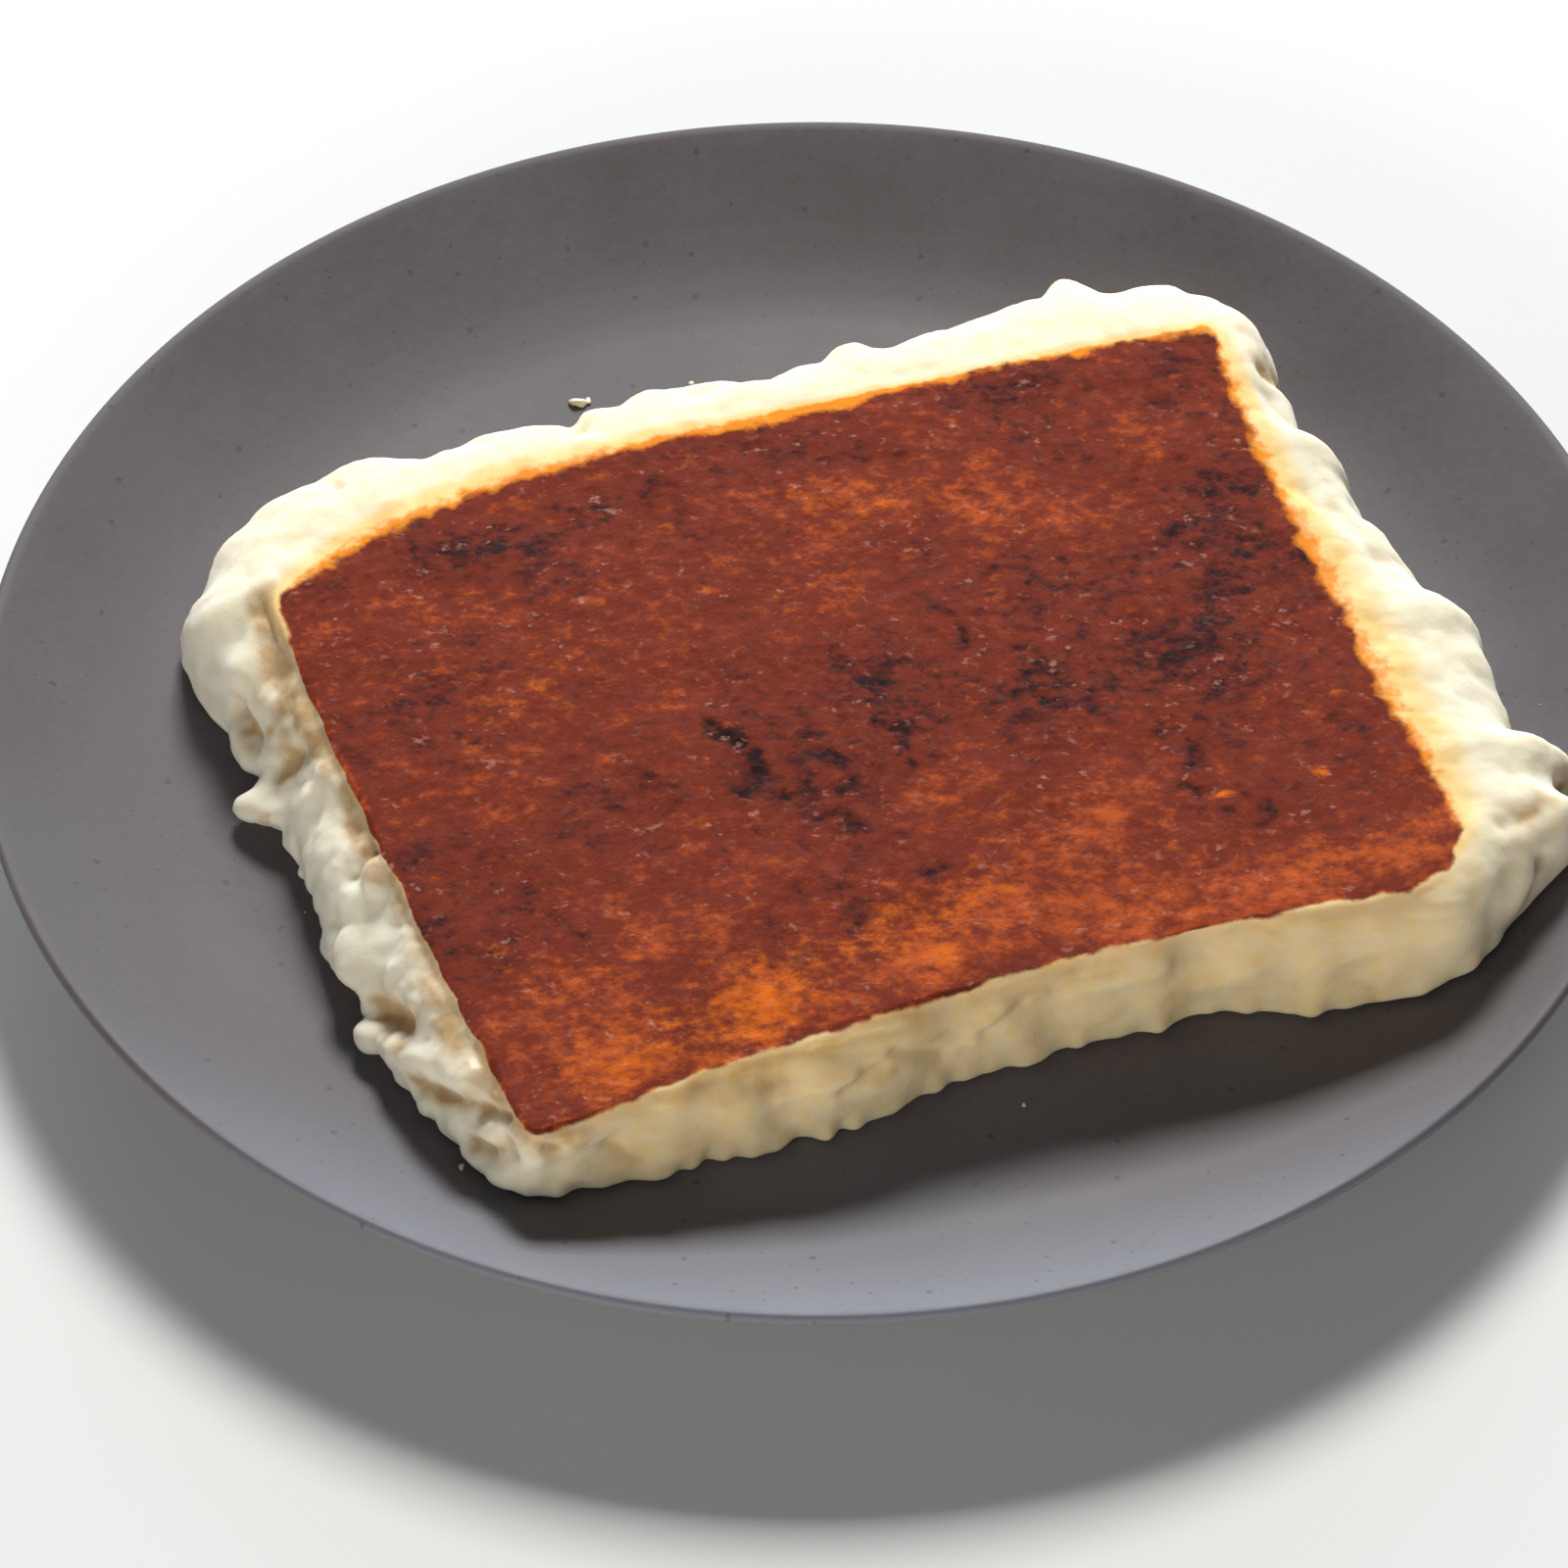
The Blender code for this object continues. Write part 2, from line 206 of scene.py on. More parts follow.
# Single lumps (height above 0) and recesses (below 0) of the sides: from, to (each a station and a
# descent, 0 at the browned edge and 1 at the foot), half width and height in millimetres.
FOLDS = (
    # back
    ((0.136, 0.40), (0.136, 0.90), 1.1, -0.8),
    ((0.170, 0.60), (0.180, 0.60), 2.4, 0.4),
    ((0.215, 0.40), (0.242, 0.80), 2.0, -0.9),
    ((0.290, 0.55), (0.320, 0.55), 3.0, 0.6),
    ((0.365, 0.30), (0.370, 0.75), 1.6, -1.2),
    ((0.435, 0.50), (0.445, 0.50), 2.2, 0.8),
    ((0.490, 0.40), (0.560, 0.50), 2.8, -0.8),
    ((0.645, 0.50), (0.655, 0.50), 2.0, 0.8),
    ((0.960, 0.45), (0.970, 0.55), 2.0, -0.6),
    # right side
    ((1.020, 0.35), (1.045, 0.50), 2.4, 0.5),
    ((1.080, 0.40), (1.066, 0.90), 1.6, -0.9),
    ((1.205, 0.45), (1.235, 0.62), 2.8, 0.7),
    ((1.325, 0.18), (1.338, 0.40), 1.8, -0.3),
    ((1.350, 0.50), (1.370, 0.66), 2.4, 0.8),
    ((1.435, 0.40), (1.445, 0.90), 2.2, -0.8),
    ((1.525, 0.50), (1.600, 0.62), 3.6, 0.6),
    ((1.735, 0.50), (1.755, 0.90), 2.4, -0.5),
    ((1.835, 0.86), (1.822, 0.92), 1.6, -0.9),
    ((1.915, 0.30), (1.885, 0.50), 1.6, -0.7),
    ((1.875, 0.72), (1.890, 0.66), 2.2, 0.7),
    ((1.937, 0.92), (1.930, 0.80), 1.4, -0.8),
    ((1.905, 0.80), (1.912, 0.76), 1.6, 0.6),
    ((1.950, 0.80), (1.960, 0.84), 2.4, 0.8),
    # front side
    ((2.120, 0.86), (2.190, 0.95), 1.6, -0.5),
    ((2.240, 0.84), (2.280, 0.90), 2.2, 0.6),
    ((2.330, 0.60), (2.420, 0.70), 1.3, 0.4),
    ((2.477, 0.68), (2.519, 0.80), 0.9, -0.6),
    ((2.530, 0.84), (2.500, 0.60), 1.4, 0.5),
    ((2.565, 0.89), (2.620, 0.62), 1.1, -0.6),
    ((2.645, 0.88), (2.615, 0.94), 2.2, 0.7),
    ((2.640, 0.72), (2.680, 0.78), 0.9, -0.5),
    ((2.740, 0.74), (2.670, 0.66), 1.2, 0.5),
    ((2.775, 0.50), (2.735, 0.60), 1.4, -0.6),
    ((2.850, 0.40), (2.790, 0.76), 2.4, 0.6),
    ((2.920, 0.76), (2.895, 0.95), 1.2, -0.8),
    ((2.960, 0.88), (2.945, 0.96), 2.2, 0.7),
    ((2.865, 0.92), (2.835, 0.96), 2.0, 0.5),
    ((2.772, 0.95), (2.762, 0.98), 1.5, 0.4),
    ((2.722, 0.94), (2.714, 0.98), 1.3, 0.3),
    ((2.592, 0.94), (2.580, 0.98), 1.7, 0.4),
    ((2.480, 0.94), (2.470, 0.98), 1.6, 0.4),
    ((2.385, 0.94), (2.370, 0.98), 1.8, 0.4),
    ((2.983, 0.52), (2.972, 0.58), 0.9, -0.9),
    ((2.985, 0.30), (2.955, 0.40), 1.2, 0.6),
    # left side
    ((3.040, 0.90), (3.052, 0.92), 1.9, 1.1),
    ((3.034, 0.70), (3.050, 0.60), 1.0, -1.0),
    ((3.066, 0.78), (3.098, 0.84), 1.0, -1.2),
    ((3.072, 0.62), (3.085, 0.70), 1.5, 0.9),
    ((3.205, 0.80), (3.060, 0.34), 1.0, -1.5),
    ((3.335, 0.94), (3.140, 0.44), 2.4, 1.9),
    ((3.352, 0.80), (3.290, 0.62), 1.7, -2.0),
    ((3.280, 0.28), (3.250, 0.40), 2.2, 0.6),
    ((3.270, 0.88), (3.190, 0.92), 2.0, 0.7),
    ((3.370, 0.55), (3.352, 0.62), 1.6, 1.0),
    ((3.461, 0.93), (3.405, 0.90), 1.3, -1.2),
    ((3.500, 0.50), (3.440, 0.80), 3.0, 1.0),
    ((3.545, 0.22), (3.535, 0.46), 1.2, -1.1),
    ((3.515, 0.24), (3.500, 0.32), 1.8, 0.9),
    ((3.600, 0.80), (3.400, 0.86), 4.5, 1.2),
    ((3.641, 0.30), (3.600, 0.34), 1.5, -0.8),
    ((3.640, 0.60), (3.625, 0.72), 2.0, 0.6),
    ((3.680, 0.86), (3.672, 0.96), 1.3, -1.0),
    ((3.705, 0.40), (3.700, 0.60), 1.8, 0.6),
    ((3.790, 0.97), (3.745, 0.86), 1.5, 1.5),
    ((3.782, 0.52), (3.790, 0.70), 1.6, -1.0),
    ((3.815, 0.30), (3.790, 0.40), 1.8, 0.8),
    ((3.840, 0.84), (3.890, 0.88), 3.4, 1.1),
    ((3.864, 0.75), (3.913, 0.75), 1.5, -1.2),
    ((3.992, 0.14), (3.905, 0.34), 1.9, -1.4),
    ((3.930, 0.52), (3.950, 0.66), 2.6, 0.9),
    ((3.985, 0.60), (3.998, 0.52), 2.4, 0.7),
)
# Stains and painted recess shades wander off their line and are broken up: spacing and reach, and spacing.
STAIN_AND_SHADE_WANDER = (0.0030, 0.0016)
STAIN_AND_SHADE_BREAKS = 0.0017
FOLD_REACH = 3.0  # how many half widths away nothing of a fold, a stain or a painted shade is left
# Tan marks of the sides, most of them painted shade in recesses and under the browned edge, the rest the
# pudding's own tan stains: from and to as above, half width in millimetres and strength.
STAINS_AND_SHADES = (
    ((3.999, 0.11), (3.908, 0.34), 2.4, 0.95),
    ((3.913, 0.75), (3.864, 0.75), 2.0, 0.60),
    ((3.860, 0.30), (3.740, 0.30), 2.6, 0.75),
    ((3.840, 0.50), (3.775, 0.60), 2.4, 0.70),
    ((3.762, 0.95), (3.745, 0.93), 0.9, 0.50),
    ((3.650, 0.30), (3.530, 0.26), 1.8, 0.60),
    ((3.461, 0.91), (3.408, 0.91), 1.4, 0.75),
    ((3.354, 0.73), (3.282, 0.64), 2.0, 1.00),
    ((3.290, 0.32), (3.210, 0.30), 2.8, 0.60),
    ((3.215, 0.80), (3.083, 0.48), 1.1, 0.85),
    ((3.120, 0.16), (3.040, 0.30), 1.6, 0.45),
    ((3.092, 0.82), (3.058, 0.70), 1.5, 0.80),
    ((2.984, 0.54), (2.975, 0.58), 1.0, 1.00),
    ((2.955, 0.50), (2.947, 0.57), 1.4, 0.60),
    ((2.990, 0.12), (2.960, 0.22), 1.6, 0.50),
    ((2.913, 0.78), (2.898, 0.94), 1.6, 0.45),
    ((2.870, 0.16), (2.700, 0.22), 1.8, 0.65),
    ((2.814, 0.70), (2.800, 0.74), 1.8, 0.30),
    ((2.775, 0.50), (2.735, 0.56), 1.4, 0.65),
    ((2.700, 0.20), (2.480, 0.24), 1.6, 0.50),
    ((2.660, 0.74), (2.620, 0.78), 1.2, 0.50),
    ((2.620, 0.60), (2.560, 0.80), 1.3, 0.45),
    ((2.530, 0.70), (2.470, 0.62), 1.5, 0.40),
    ((2.440, 0.50), (2.380, 0.40), 2.2, 0.45),
    ((2.320, 0.88), (2.290, 0.96), 1.6, 0.40),
    ((2.250, 0.30), (2.150, 0.36), 2.0, 0.30),
    ((2.135, 0.96), (2.115, 0.99), 0.9, 0.90),
    ((1.908, 0.34), (1.883, 0.50), 1.4, 0.65),
    ((1.840, 0.84), (1.825, 0.90), 1.2, 0.90),
    ((1.937, 0.92), (1.930, 0.82), 1.1, 0.60),
    ((1.073, 0.40), (1.062, 0.90), 1.8, 0.60),
    ((1.325, 0.16), (1.340, 0.30), 1.5, 0.50),
    ((1.600, 0.28), (1.625, 0.36), 1.6, 0.25),
)

# Pits and cracks wander off their line: spacing in metres and reach in millimetres.
FLAW_WANDERS = ((0.0026, 1.3), (0.0010, 0.6))
# Their hollow as a share of the depth given below, and its width as a share of theirs.
FLAW_HOLLOW = (0.28, 1.2)
# How dark a flaw and the crust round it are painted, partly scorch and partly painted shade in the pits and
# cracks, and how wide each is as a share of the flaw's width.
FLAW_SHADES = ((0.62, 1.15), (0.14, 2.8))
DARKEST_FLAW = 1.1
FLAW_REACH = 5.0  # how many half widths away nothing of a flaw is left
FLAW_BREAKS = (0.0018, 1.2)  # spacing and strength of what breaks flaws up
FAINTEST_SHADE = 0.55
MOST_SCORCH_AND_PIT_SHADE = 1.6
# Pits and cracks of the browned face: from, to (each across from the left and down from the back,
# as shares of the face), half width and depth in millimetres.
FLAWS = (
    ((0.352, 0.500), (0.373, 0.538), 0.65, 1.2),
    ((0.373, 0.538), (0.383, 0.578), 0.50, 0.9),
    ((0.383, 0.490), (0.402, 0.505), 0.45, 0.5),
    ((0.356, 0.612), (0.379, 0.597), 0.80, 1.4),
    ((0.386, 0.626), (0.398, 0.641), 0.70, 1.3),
    ((0.432, 0.568), (0.451, 0.602), 0.45, 0.5),
    ((0.451, 0.602), (0.458, 0.646), 0.55, 0.6),
    ((0.458, 0.646), (0.443, 0.665), 0.45, 0.6),
    ((0.417, 0.631), (0.413, 0.660), 0.35, 0.4),
    ((0.443, 0.709), (0.455, 0.718), 0.55, 0.9),
    ((0.337, 0.631), (0.340, 0.675), 0.40, 0.5),
    ((0.345, 0.680), (0.367, 0.704), 0.35, 0.5),
    ((0.383, 0.704), (0.390, 0.748), 0.40, 0.7),
    ((0.360, 0.354), (0.394, 0.451), 0.35, 0.4),
    ((0.515, 0.573), (0.530, 0.578), 0.80, 1.4),
    ((0.530, 0.597), (0.527, 0.641), 0.55, 0.7),
    ((0.527, 0.641), (0.511, 0.655), 0.45, 0.6),
    ((0.504, 0.442), (0.523, 0.505), 0.90, 0.6),
    ((0.538, 0.286), (0.549, 0.296), 0.60, 0.6),
    ((0.489, 0.359), (0.519, 0.374), 0.60, 0.4),
    ((0.629, 0.422), (0.636, 0.461), 0.70, 0.5),
    ((0.341, 0.767), (0.356, 0.782), 0.35, 0.5),
    ((0.356, 0.796), (0.364, 0.806), 0.55, 0.9),
    ((0.485, 0.820), (0.504, 0.816), 0.45, 0.6),
    ((0.455, 0.869), (0.477, 0.883), 0.35, 0.5),
    ((0.337, 0.947), (0.356, 0.942), 0.55, 0.5),
    ((0.322, 0.972), (0.318, 0.985), 0.60, 0.5),
    ((0.170, 0.990), (0.174, 0.995), 0.45, 0.5),
    ((0.633, 0.451), (0.636, 0.466), 0.80, 0.5),
    ((0.670, 0.485), (0.689, 0.495), 0.60, 0.5),
    ((0.674, 0.530), (0.674, 0.541), 0.60, 0.8),
    ((0.678, 0.583), (0.689, 0.602), 0.60, 0.7),
    ((0.716, 0.607), (0.723, 0.626), 0.60, 0.8),
    ((0.697, 0.335), (0.701, 0.340), 0.50, 0.6),
    ((0.811, 0.393), (0.822, 0.413), 0.70, 0.6),
    ((0.894, 0.451), (0.913, 0.466), 0.50, 0.6),
    ((0.773, 0.670), (0.784, 0.655), 0.50, 0.7),
    ((0.792, 0.714), (0.792, 0.733), 0.90, 1.4),
    ((0.769, 0.777), (0.773, 0.782), 0.65, 1.1),
    ((0.765, 0.816), (0.769, 0.820), 0.60, 1.1),
    ((0.795, 0.825), (0.799, 0.830), 0.55, 0.9),
    ((0.830, 0.840), (0.837, 0.845), 0.60, 0.5),
    ((0.947, 0.549), (0.962, 0.563), 0.80, 0.4),
)
# Scorched and golden patches of the browned face: across, down (shares of the face), half length
# along each (millimetres) and strength. A strength below 0 is a lighter patch.
SCORCHED_PATCHES = (
    (0.06, 0.05, 7.0, 5.0, 0.28),
    (0.20, 0.09, 12.0, 6.0, 0.42),
    (0.34, 0.11, 12.0, 7.0, 0.35),
    (0.49, 0.07, 8.0, 4.5, 0.40),
    (0.74, 0.05, 9.0, 4.0, 0.30),
    (0.88, 0.08, 7.0, 5.0, 0.28),
    (0.17, 0.25, 9.0, 6.0, 0.20),
    (0.06, 0.32, 8.0, 8.0, 0.30),
    (0.93, 0.35, 8.0, 10.0, 0.70),
    (0.74, 0.40, 13.0, 8.0, 0.45),
    (0.54, 0.54, 9.0, 12.0, 0.40),
    (0.62, 0.55, 14.0, 8.0, 0.15),
    (0.79, 0.58, 14.0, 9.0, 0.50),
    (0.41, 0.60, 9.0, 9.0, 0.12),
    (0.78, 0.78, 4.0, 6.0, 0.40),
    (0.01, 0.35, 2.5, 18.0, 0.30),
    (0.18, 0.64, 8.0, 7.0, 0.22),
    (0.88, 0.84, 8.0, 6.0, 0.25),
    (0.38, 0.86, 6.0, 4.0, 0.25),
    (0.87, 0.46, 16.0, 12.0, 0.16),
    (0.50, 0.52, 18.0, 10.0, 0.14),
    (0.15, 0.25, 12.0, 10.0, 0.16),
    (0.72, 0.77, 20.0, 7.0, -0.16),
    (0.25, 0.98, 26.0, 8.0, -0.25),
    (0.75, 0.98, 28.0, 8.0, -0.28),
    (0.58, 0.20, 10.0, 8.0, -0.38),
    (0.35, 0.40, 10.0, 6.0, -0.15),
    (0.25, 0.78, 9.0, 7.0, -0.30),
    (0.58, 0.76, 10.0, 7.0, -0.32),
    (0.70, 0.80, 7.0, 7.0, -0.25),
    (0.09, 0.93, 9.0, 6.0, -0.65),
    (0.43, 0.94, 8.0, 4.5, -0.25),
    (0.59, 0.93, 9.0, 5.0, -0.40),
    (0.76, 0.94, 9.0, 4.5, -0.45),
    (0.93, 0.94, 7.0, 4.5, -0.40),
)
GOLDEN_PATCHES = (
    (0.277, 0.925, 6.5, 6.0, 0.50),
    (0.20, 0.94, 13.0, 6.0, 0.35),
    (0.11, 0.95, 6.0, 5.0, 0.35),
    (0.41, 0.89, 8.0, 6.0, 0.40),
    (0.462, 0.956, 2.5, 2.0, 0.55),
    (0.52, 0.87, 9.0, 5.0, 0.28),
    (0.20, 0.31, 8.0, 6.0, 0.22),
    (0.13, 0.38, 5.0, 4.0, 0.22),
    (0.60, 0.18, 12.0, 5.0, 0.30),
    (0.08, 0.80, 6.0, 8.0, 0.20),
    (0.97, 0.93, 3.0, 5.0, 0.40),
    (0.799, 0.800, 1.2, 0.8, 1.10),
    (0.902, 0.791, 1.1, 0.8, 0.90),
)

# How strongly a crumb swells and bends, and how many such swells and bends go to its width.
CRUMB_SWELL = (0.9, 1.7)
CRUMB_BEND = (0.25, 1.1)
CRUMB_FLATNESS = 0.38
CRUMB_SCATTER = 0.007  # how far from the foot crumbs lie
CRUMB_BROWNING = (0.0, 0.0, 0.3, 0.7)
# Crumbs that lie apart: x, y on the plate and width, in millimetres, and how browned each is.
LONE_CRUMBS = (
    (-29.3, 57.9, 1.7, 0.0),
    (-28.0, 58.3, 0.9, 0.0),
    (-15.4, 61.5, 0.7, 0.3),
    (2.6, 66.8, 1.1, 0.6),
)


def mix(a, b, share):
    return a + (b - a) * share


def smooth_step(share):
    share = min(max(share, 0.0), 1.0)
    return share * share * (3.0 - 2.0 * share)


# ---------------------------------------------------------------- settings


def length_property(title, description, default, most):
    return FloatProperty(name=title, description=description, default=default, min=0.0, max=most,
                         precision=5, unit="LENGTH", subtype="DISTANCE")


def color_property(title, description, default):
    return FloatVectorProperty(name=title, description=description, default=default, size=3,
                               min=0.0, max=1.0, subtype="COLOR")


def share_property(title, description, default):
    return FloatProperty(name=title, description=description, default=default, min=0.0, max=1.0,
                         subtype="FACTOR")


class KAZANDIBI_PG_plate(PropertyGroup):
    """Finish of the stoneware plate"""

    segments: IntProperty(name="Segments", description="Steps round the plate", default=256, min=24)
    ring_height: length_property("Throwing Rings", "Height of the faint turned rings", 0.00004, 0.001)
    clay_color: color_property("Clay", "Colour of the grey glaze", (0.106, 0.091, 0.096))
    pale_color: color_property("Pale Clay", "Colour of the glaze where it is worn", (0.130, 0.119, 0.130))
    # Painted reflection, not a colour of the glaze: the paler bluish sheen that the front rim takes from the
    # window light behind the plate.
    front_sheen_color: color_property("Painted Front Sheen", "Colour of the glaze where the kiln turned it bluish",
                                  (0.198, 0.202, 0.234))
    speck_color: color_property("Specks", "Colour of the iron specks", (0.030, 0.026, 0.027))
    roughness: share_property("Roughness", "How matte the glaze is", 0.66)


class KAZANDIBI_PG_pudding(PropertyGroup):
    """Shape and colours of the pudding"""

    face_columns: IntProperty(name="Face Columns", description="Cells along the browned face",
                              default=256, min=20)
    face_rows: IntProperty(name="Face Rows", description="Cells across the browned face",
                           default=200, min=20)
    side_rows: IntProperty(name="Side Rows", description="Cells down each side", default=43, min=8)
    curd_height: length_property("Curd Height", "Depth of the creases between the curds", 0.0011, 0.004)
    curd_size: length_property("Curd Size", "Distance between the large curds", 0.0064, 0.02)
    seed: IntProperty(name="Seed", description="Seed of its swirls, which 0 would leave to chance",
                      default=7, min=1)
    cream_color: color_property("Cream", "Colour of the pudding", (0.88, 0.84, 0.68))
    # Peach and amber colour the pudding by the browned edge: seeped caramel and, on the back and right, a
    # painted glow of the light behind through the thin edge.
    tan_and_shade_color: color_property("Deep Cream", "Colour of the pudding in its recesses", (0.53, 0.365, 0.195))
    # Used both for the sides' own tan and for the painted shade of their recesses, their creases and the
    # band under the browned edge.
    peach_color: color_property("Peach", "Colour that has seeped into the pudding", (0.90, 0.63, 0.25))
    amber_color: color_property("Amber", "Colour of the pudding next to the crust", (0.84, 0.285, 0.020))
    ember_color: color_property("Golden", "Colour of the palest crust", (0.72, 0.150, 0.012))
    crust_color: color_property("Crust", "Colour of the crust", (0.182, 0.030, 0.016))
    light_color: color_property("Light Crust", "Colour of the crust's lighter streaks", (0.54, 0.102, 0.024))
    scorched_color: color_property("Scorched", "Colour of the darkest crust", (0.026, 0.011, 0.013))
    # Painted highlights: pale flecks that stand in for the glints of the wet crust.
    glint_fleck_color: color_property("Painted Glints", "Colour of the crust's dry flecks", (0.56, 0.27, 0.20))
    crust_roughness: share_property("Crust Roughness", "How matte the crust is", 0.85)
    moisture: share_property("Moisture", "How wet the crust's moist spots are", 0.03)
    cream_roughness: share_property("Cream Roughness", "How matte the moist pudding is", 0.34)


class KAZANDIBI_PG_crumbs(PropertyGroup):
    """Crumbs on the plate"""

    count: IntProperty(name="Crumbs", description="Crumbs along the pudding's foot", default=11, min=0)
    smallest: length_property("Smallest", "Width of the smallest crumb", 0.00025, 0.005)
    largest: length_property("Largest", "Width of the largest crumb", 0.0008, 0.005)
    seed: IntProperty(name="Seed", description="Seed of the crumbs' places", default=5, min=1)


class KAZANDIBI_PG_stage(PropertyGroup):
    """Floor, lights and camera"""

    floor_color: color_property("Floor", "Colour of the pale floor", (0.80, 0.80, 0.80))
    key_power: FloatProperty(name="Key Light", description="Strength of the light behind the plate",
                             default=80.0, min=0.0, unit="POWER")
    fill_power: FloatProperty(name="Fill Light", description="Strength of the light in front",
                              default=33.5, min=0.0, unit="POWER")
    window_power: FloatProperty(name="Window", description="Strength of the low wide light behind",
                                default=36.0, min=0.0, unit="POWER")
    camera_elevation: FloatProperty(name="Camera Elevation", description="Angle above the table",
                                    default=math.radians(45.8878), subtype="ANGLE")
    camera_distance: FloatProperty(name="Camera Distance", description="From the plate's middle",
                                   default=1.5682, min=0.1, unit="LENGTH", subtype="DISTANCE")
    camera_lens: FloatProperty(name="Lens", description="Focal length", default=300.0, min=1.0,
                               subtype="DISTANCE_CAMERA")


# ---------------------------------------------------------------- shader helpers


def add_node(tree, kind, inputs=None, **settings):
    """A shader node with its settings and its inputs by name: an output is linked, a value is set."""
    node = tree.nodes.new("ShaderNode" + kind)
    for name, value in settings.items():
        setattr(node, name, value)
    for name, value in (inputs or {}).items():
        fill_input(tree, node.inputs[name], value)
    return node


def fill_input(tree, socket, value):
    if isinstance(value, bpy.types.NodeSocket):
        tree.links.new(value, socket)
    else:
        socket.default_value = value


def maths(tree, operation, *values):
    node = add_node(tree, "Math", operation=operation)
    for socket, value in zip(node.inputs, values):
        fill_input(tree, socket, value)
    return node.outputs["Value"]


def blended(tree, share, a, b, blend_type="MIX"):
    """Colour a turned into colour b by a share."""
    node = add_node(tree, "Mix", data_type="RGBA", blend_type=blend_type)
    for index, value in ((0, share), (6, a), (7, b)):
        fill_input(tree, node.inputs[index], value)
    return node.outputs[2]


def between(tree, value, low, high):
    """0 below low, 1 above high, and smooth between them. High may be the lower of the two."""
    node = add_node(tree, "MapRange", {"Value": value, "From Min": low, "From Max": high},
                    interpolation_type="SMOOTHSTEP")
    return node.outputs["Result"]


def noise_at(tree, place, size, detail=2.0, roughness=0.5, distortion=0.0):
    """Noise of 0 to 1 round 0.5, its features of a size in millimetres."""
    scale = maths(tree, "DIVIDE", 1.0 / MILLIMETRE, size)
    node = add_node(tree, "TexNoise", {"Vector": place, "Scale": scale, "Detail": detail,
                                       "Roughness": roughness, "Distortion": distortion})
    return node.outputs["Fac"]


def new_group(name, inputs, outputs):
    """A shader node group with named inputs and outputs. Returns its tree and its two end nodes."""
    tree = bpy.data.node_groups.new(name, "ShaderNodeTree")
    for title, kind, default in inputs:
        socket = tree.interface.new_socket(title, in_out="INPUT", socket_type="NodeSocket" + kind)
        if default is not None:
            socket.default_value = default
    for title, kind in outputs:
        tree.interface.new_socket(title, in_out="OUTPUT", socket_type="NodeSocket" + kind)
    return tree, tree.nodes.new("NodeGroupInput"), tree.nodes.new("NodeGroupOutput")


def placed_group(tree, group, inputs):
    node = tree.nodes.new("ShaderNodeGroup")
    node.node_tree = group
    for name, value in inputs.items():
        fill_input(tree, node.inputs[name], value)
    return node


def opaque(color):
    return (*color, 1.0)


def new_material(name):
    """A material, its tree, its shader and the place on the object that its effects follow."""
    material = bpy.data.materials.new(name)
    material.use_nodes = True
    tree = material.node_tree
    return material, tree, tree.nodes["Principled BSDF"], add_node(tree, "TexCoord").outputs["Object"]


def add_relief(tree, shader, place, strength, height, size, swell_size, swell=1.0):
    """Grain as bump on a shader: its strength, its height in metres and its sizes in millimetres."""
    grain = placed_group(tree, grain_group(), {"Vector": place, "Size": size, "Swell Size": swell_size,
                                               "Swell": swell})
    bump = add_node(tree, "Bump", {"Strength": strength, "Distance": height,
                                   "Height": grain.outputs["Height"]})
    fill_input(tree, shader.inputs["Normal"], bump.outputs["Normal"])


# ---------------------------------------------------------------- shared effects

CLOUD_RAMP = (0.36, 0.64)
CLOUD_SHARES = (0.65, 0.35)  # of the coarse and the fine noise in a cloud

# Noises of the browning: size in millimetres, how far they swing round 0, detail and roughness.
BROAD_JAG = {"size": 5.0, "swing": 0.75, "detail": 1.0}
FINE_JAG = {"size": 1.7, "swing": 0.42, "detail": 4.0, "roughness": 0.6}
BROAD_MOTTLING = {"size": 14.0, "swing": 0.98, "detail": 3.0}
FINE_MOTTLING = {"size": 3.0, "swing": 1.62, "detail": 4.0, "roughness": 0.66}
GRAIN_MOTTLING = {"size": 1.0, "swing": 0.42, "detail": 1.0}
BROAD_GOLD = {"size": 6.0, "swing": 0.30}
FINE_GOLD = {"size": 2.4, "swing": 0.75, "detail": 4.0, "roughness": 0.65}
TAN_AND_SHADE_PATCHES = {"size": 3.0, "swing": 0.5, "detail": 3.0}
SEEPING_AND_GLOW_PATCHES = {"size": 1.8, "swing": 0.20, "detail": 3.0}
# The crust's pale flecks are painted highlights, in place of the glints of its wet grains under the light
# behind.
PAINTED_GLINTS = {"size": 1.7, "detail": 2.5, "roughness": 0.6}
GLINT_ZONES = {"size": 8.0, "detail": 2.0}
STREAKING = (1.0, 1.35, 1.0)  # the crust's mottling is drawn together from back to front
# Ramps of the browning: the value at which a colour begins and the value at which it is full.
LIGHT_RAMP = (0.0, -2.3)
SCORCHED_RAMP = (0.0, 2.20)
GOLDEN_RAMP = (0.2, 1.6)
GLINT_RAMP = (0.60, 0.74)
PEACH_RAMP = (0.10, 0.80)
AMBER_RAMP = (0.78, 1.05)
# Where the crust ends, in millimetres inside the edge: times the strength of the seeped colour and its
# painted glow, and added.
CRUST_FADES_OUT = (-0.75, -0.04)
CRUST_IS_WHOLE = (0.32, 0.05)
SCORCH_AND_PIT_SHADE_WEIGHT = 1.75
GOLDEN_WEIGHT = 1.6
GOLDEN_MARGIN = (0.7, 0.5)  # width in millimetres and strength of the golden line inside the edge
GLINT_STRENGTH = 0.52
# How strong the fine mottling is, how much stronger where the crust is scorched and where painted shade
# darkens its pits, and at most.
MOTTLING_STRENGTH = (0.78, 0.20, 1.0)


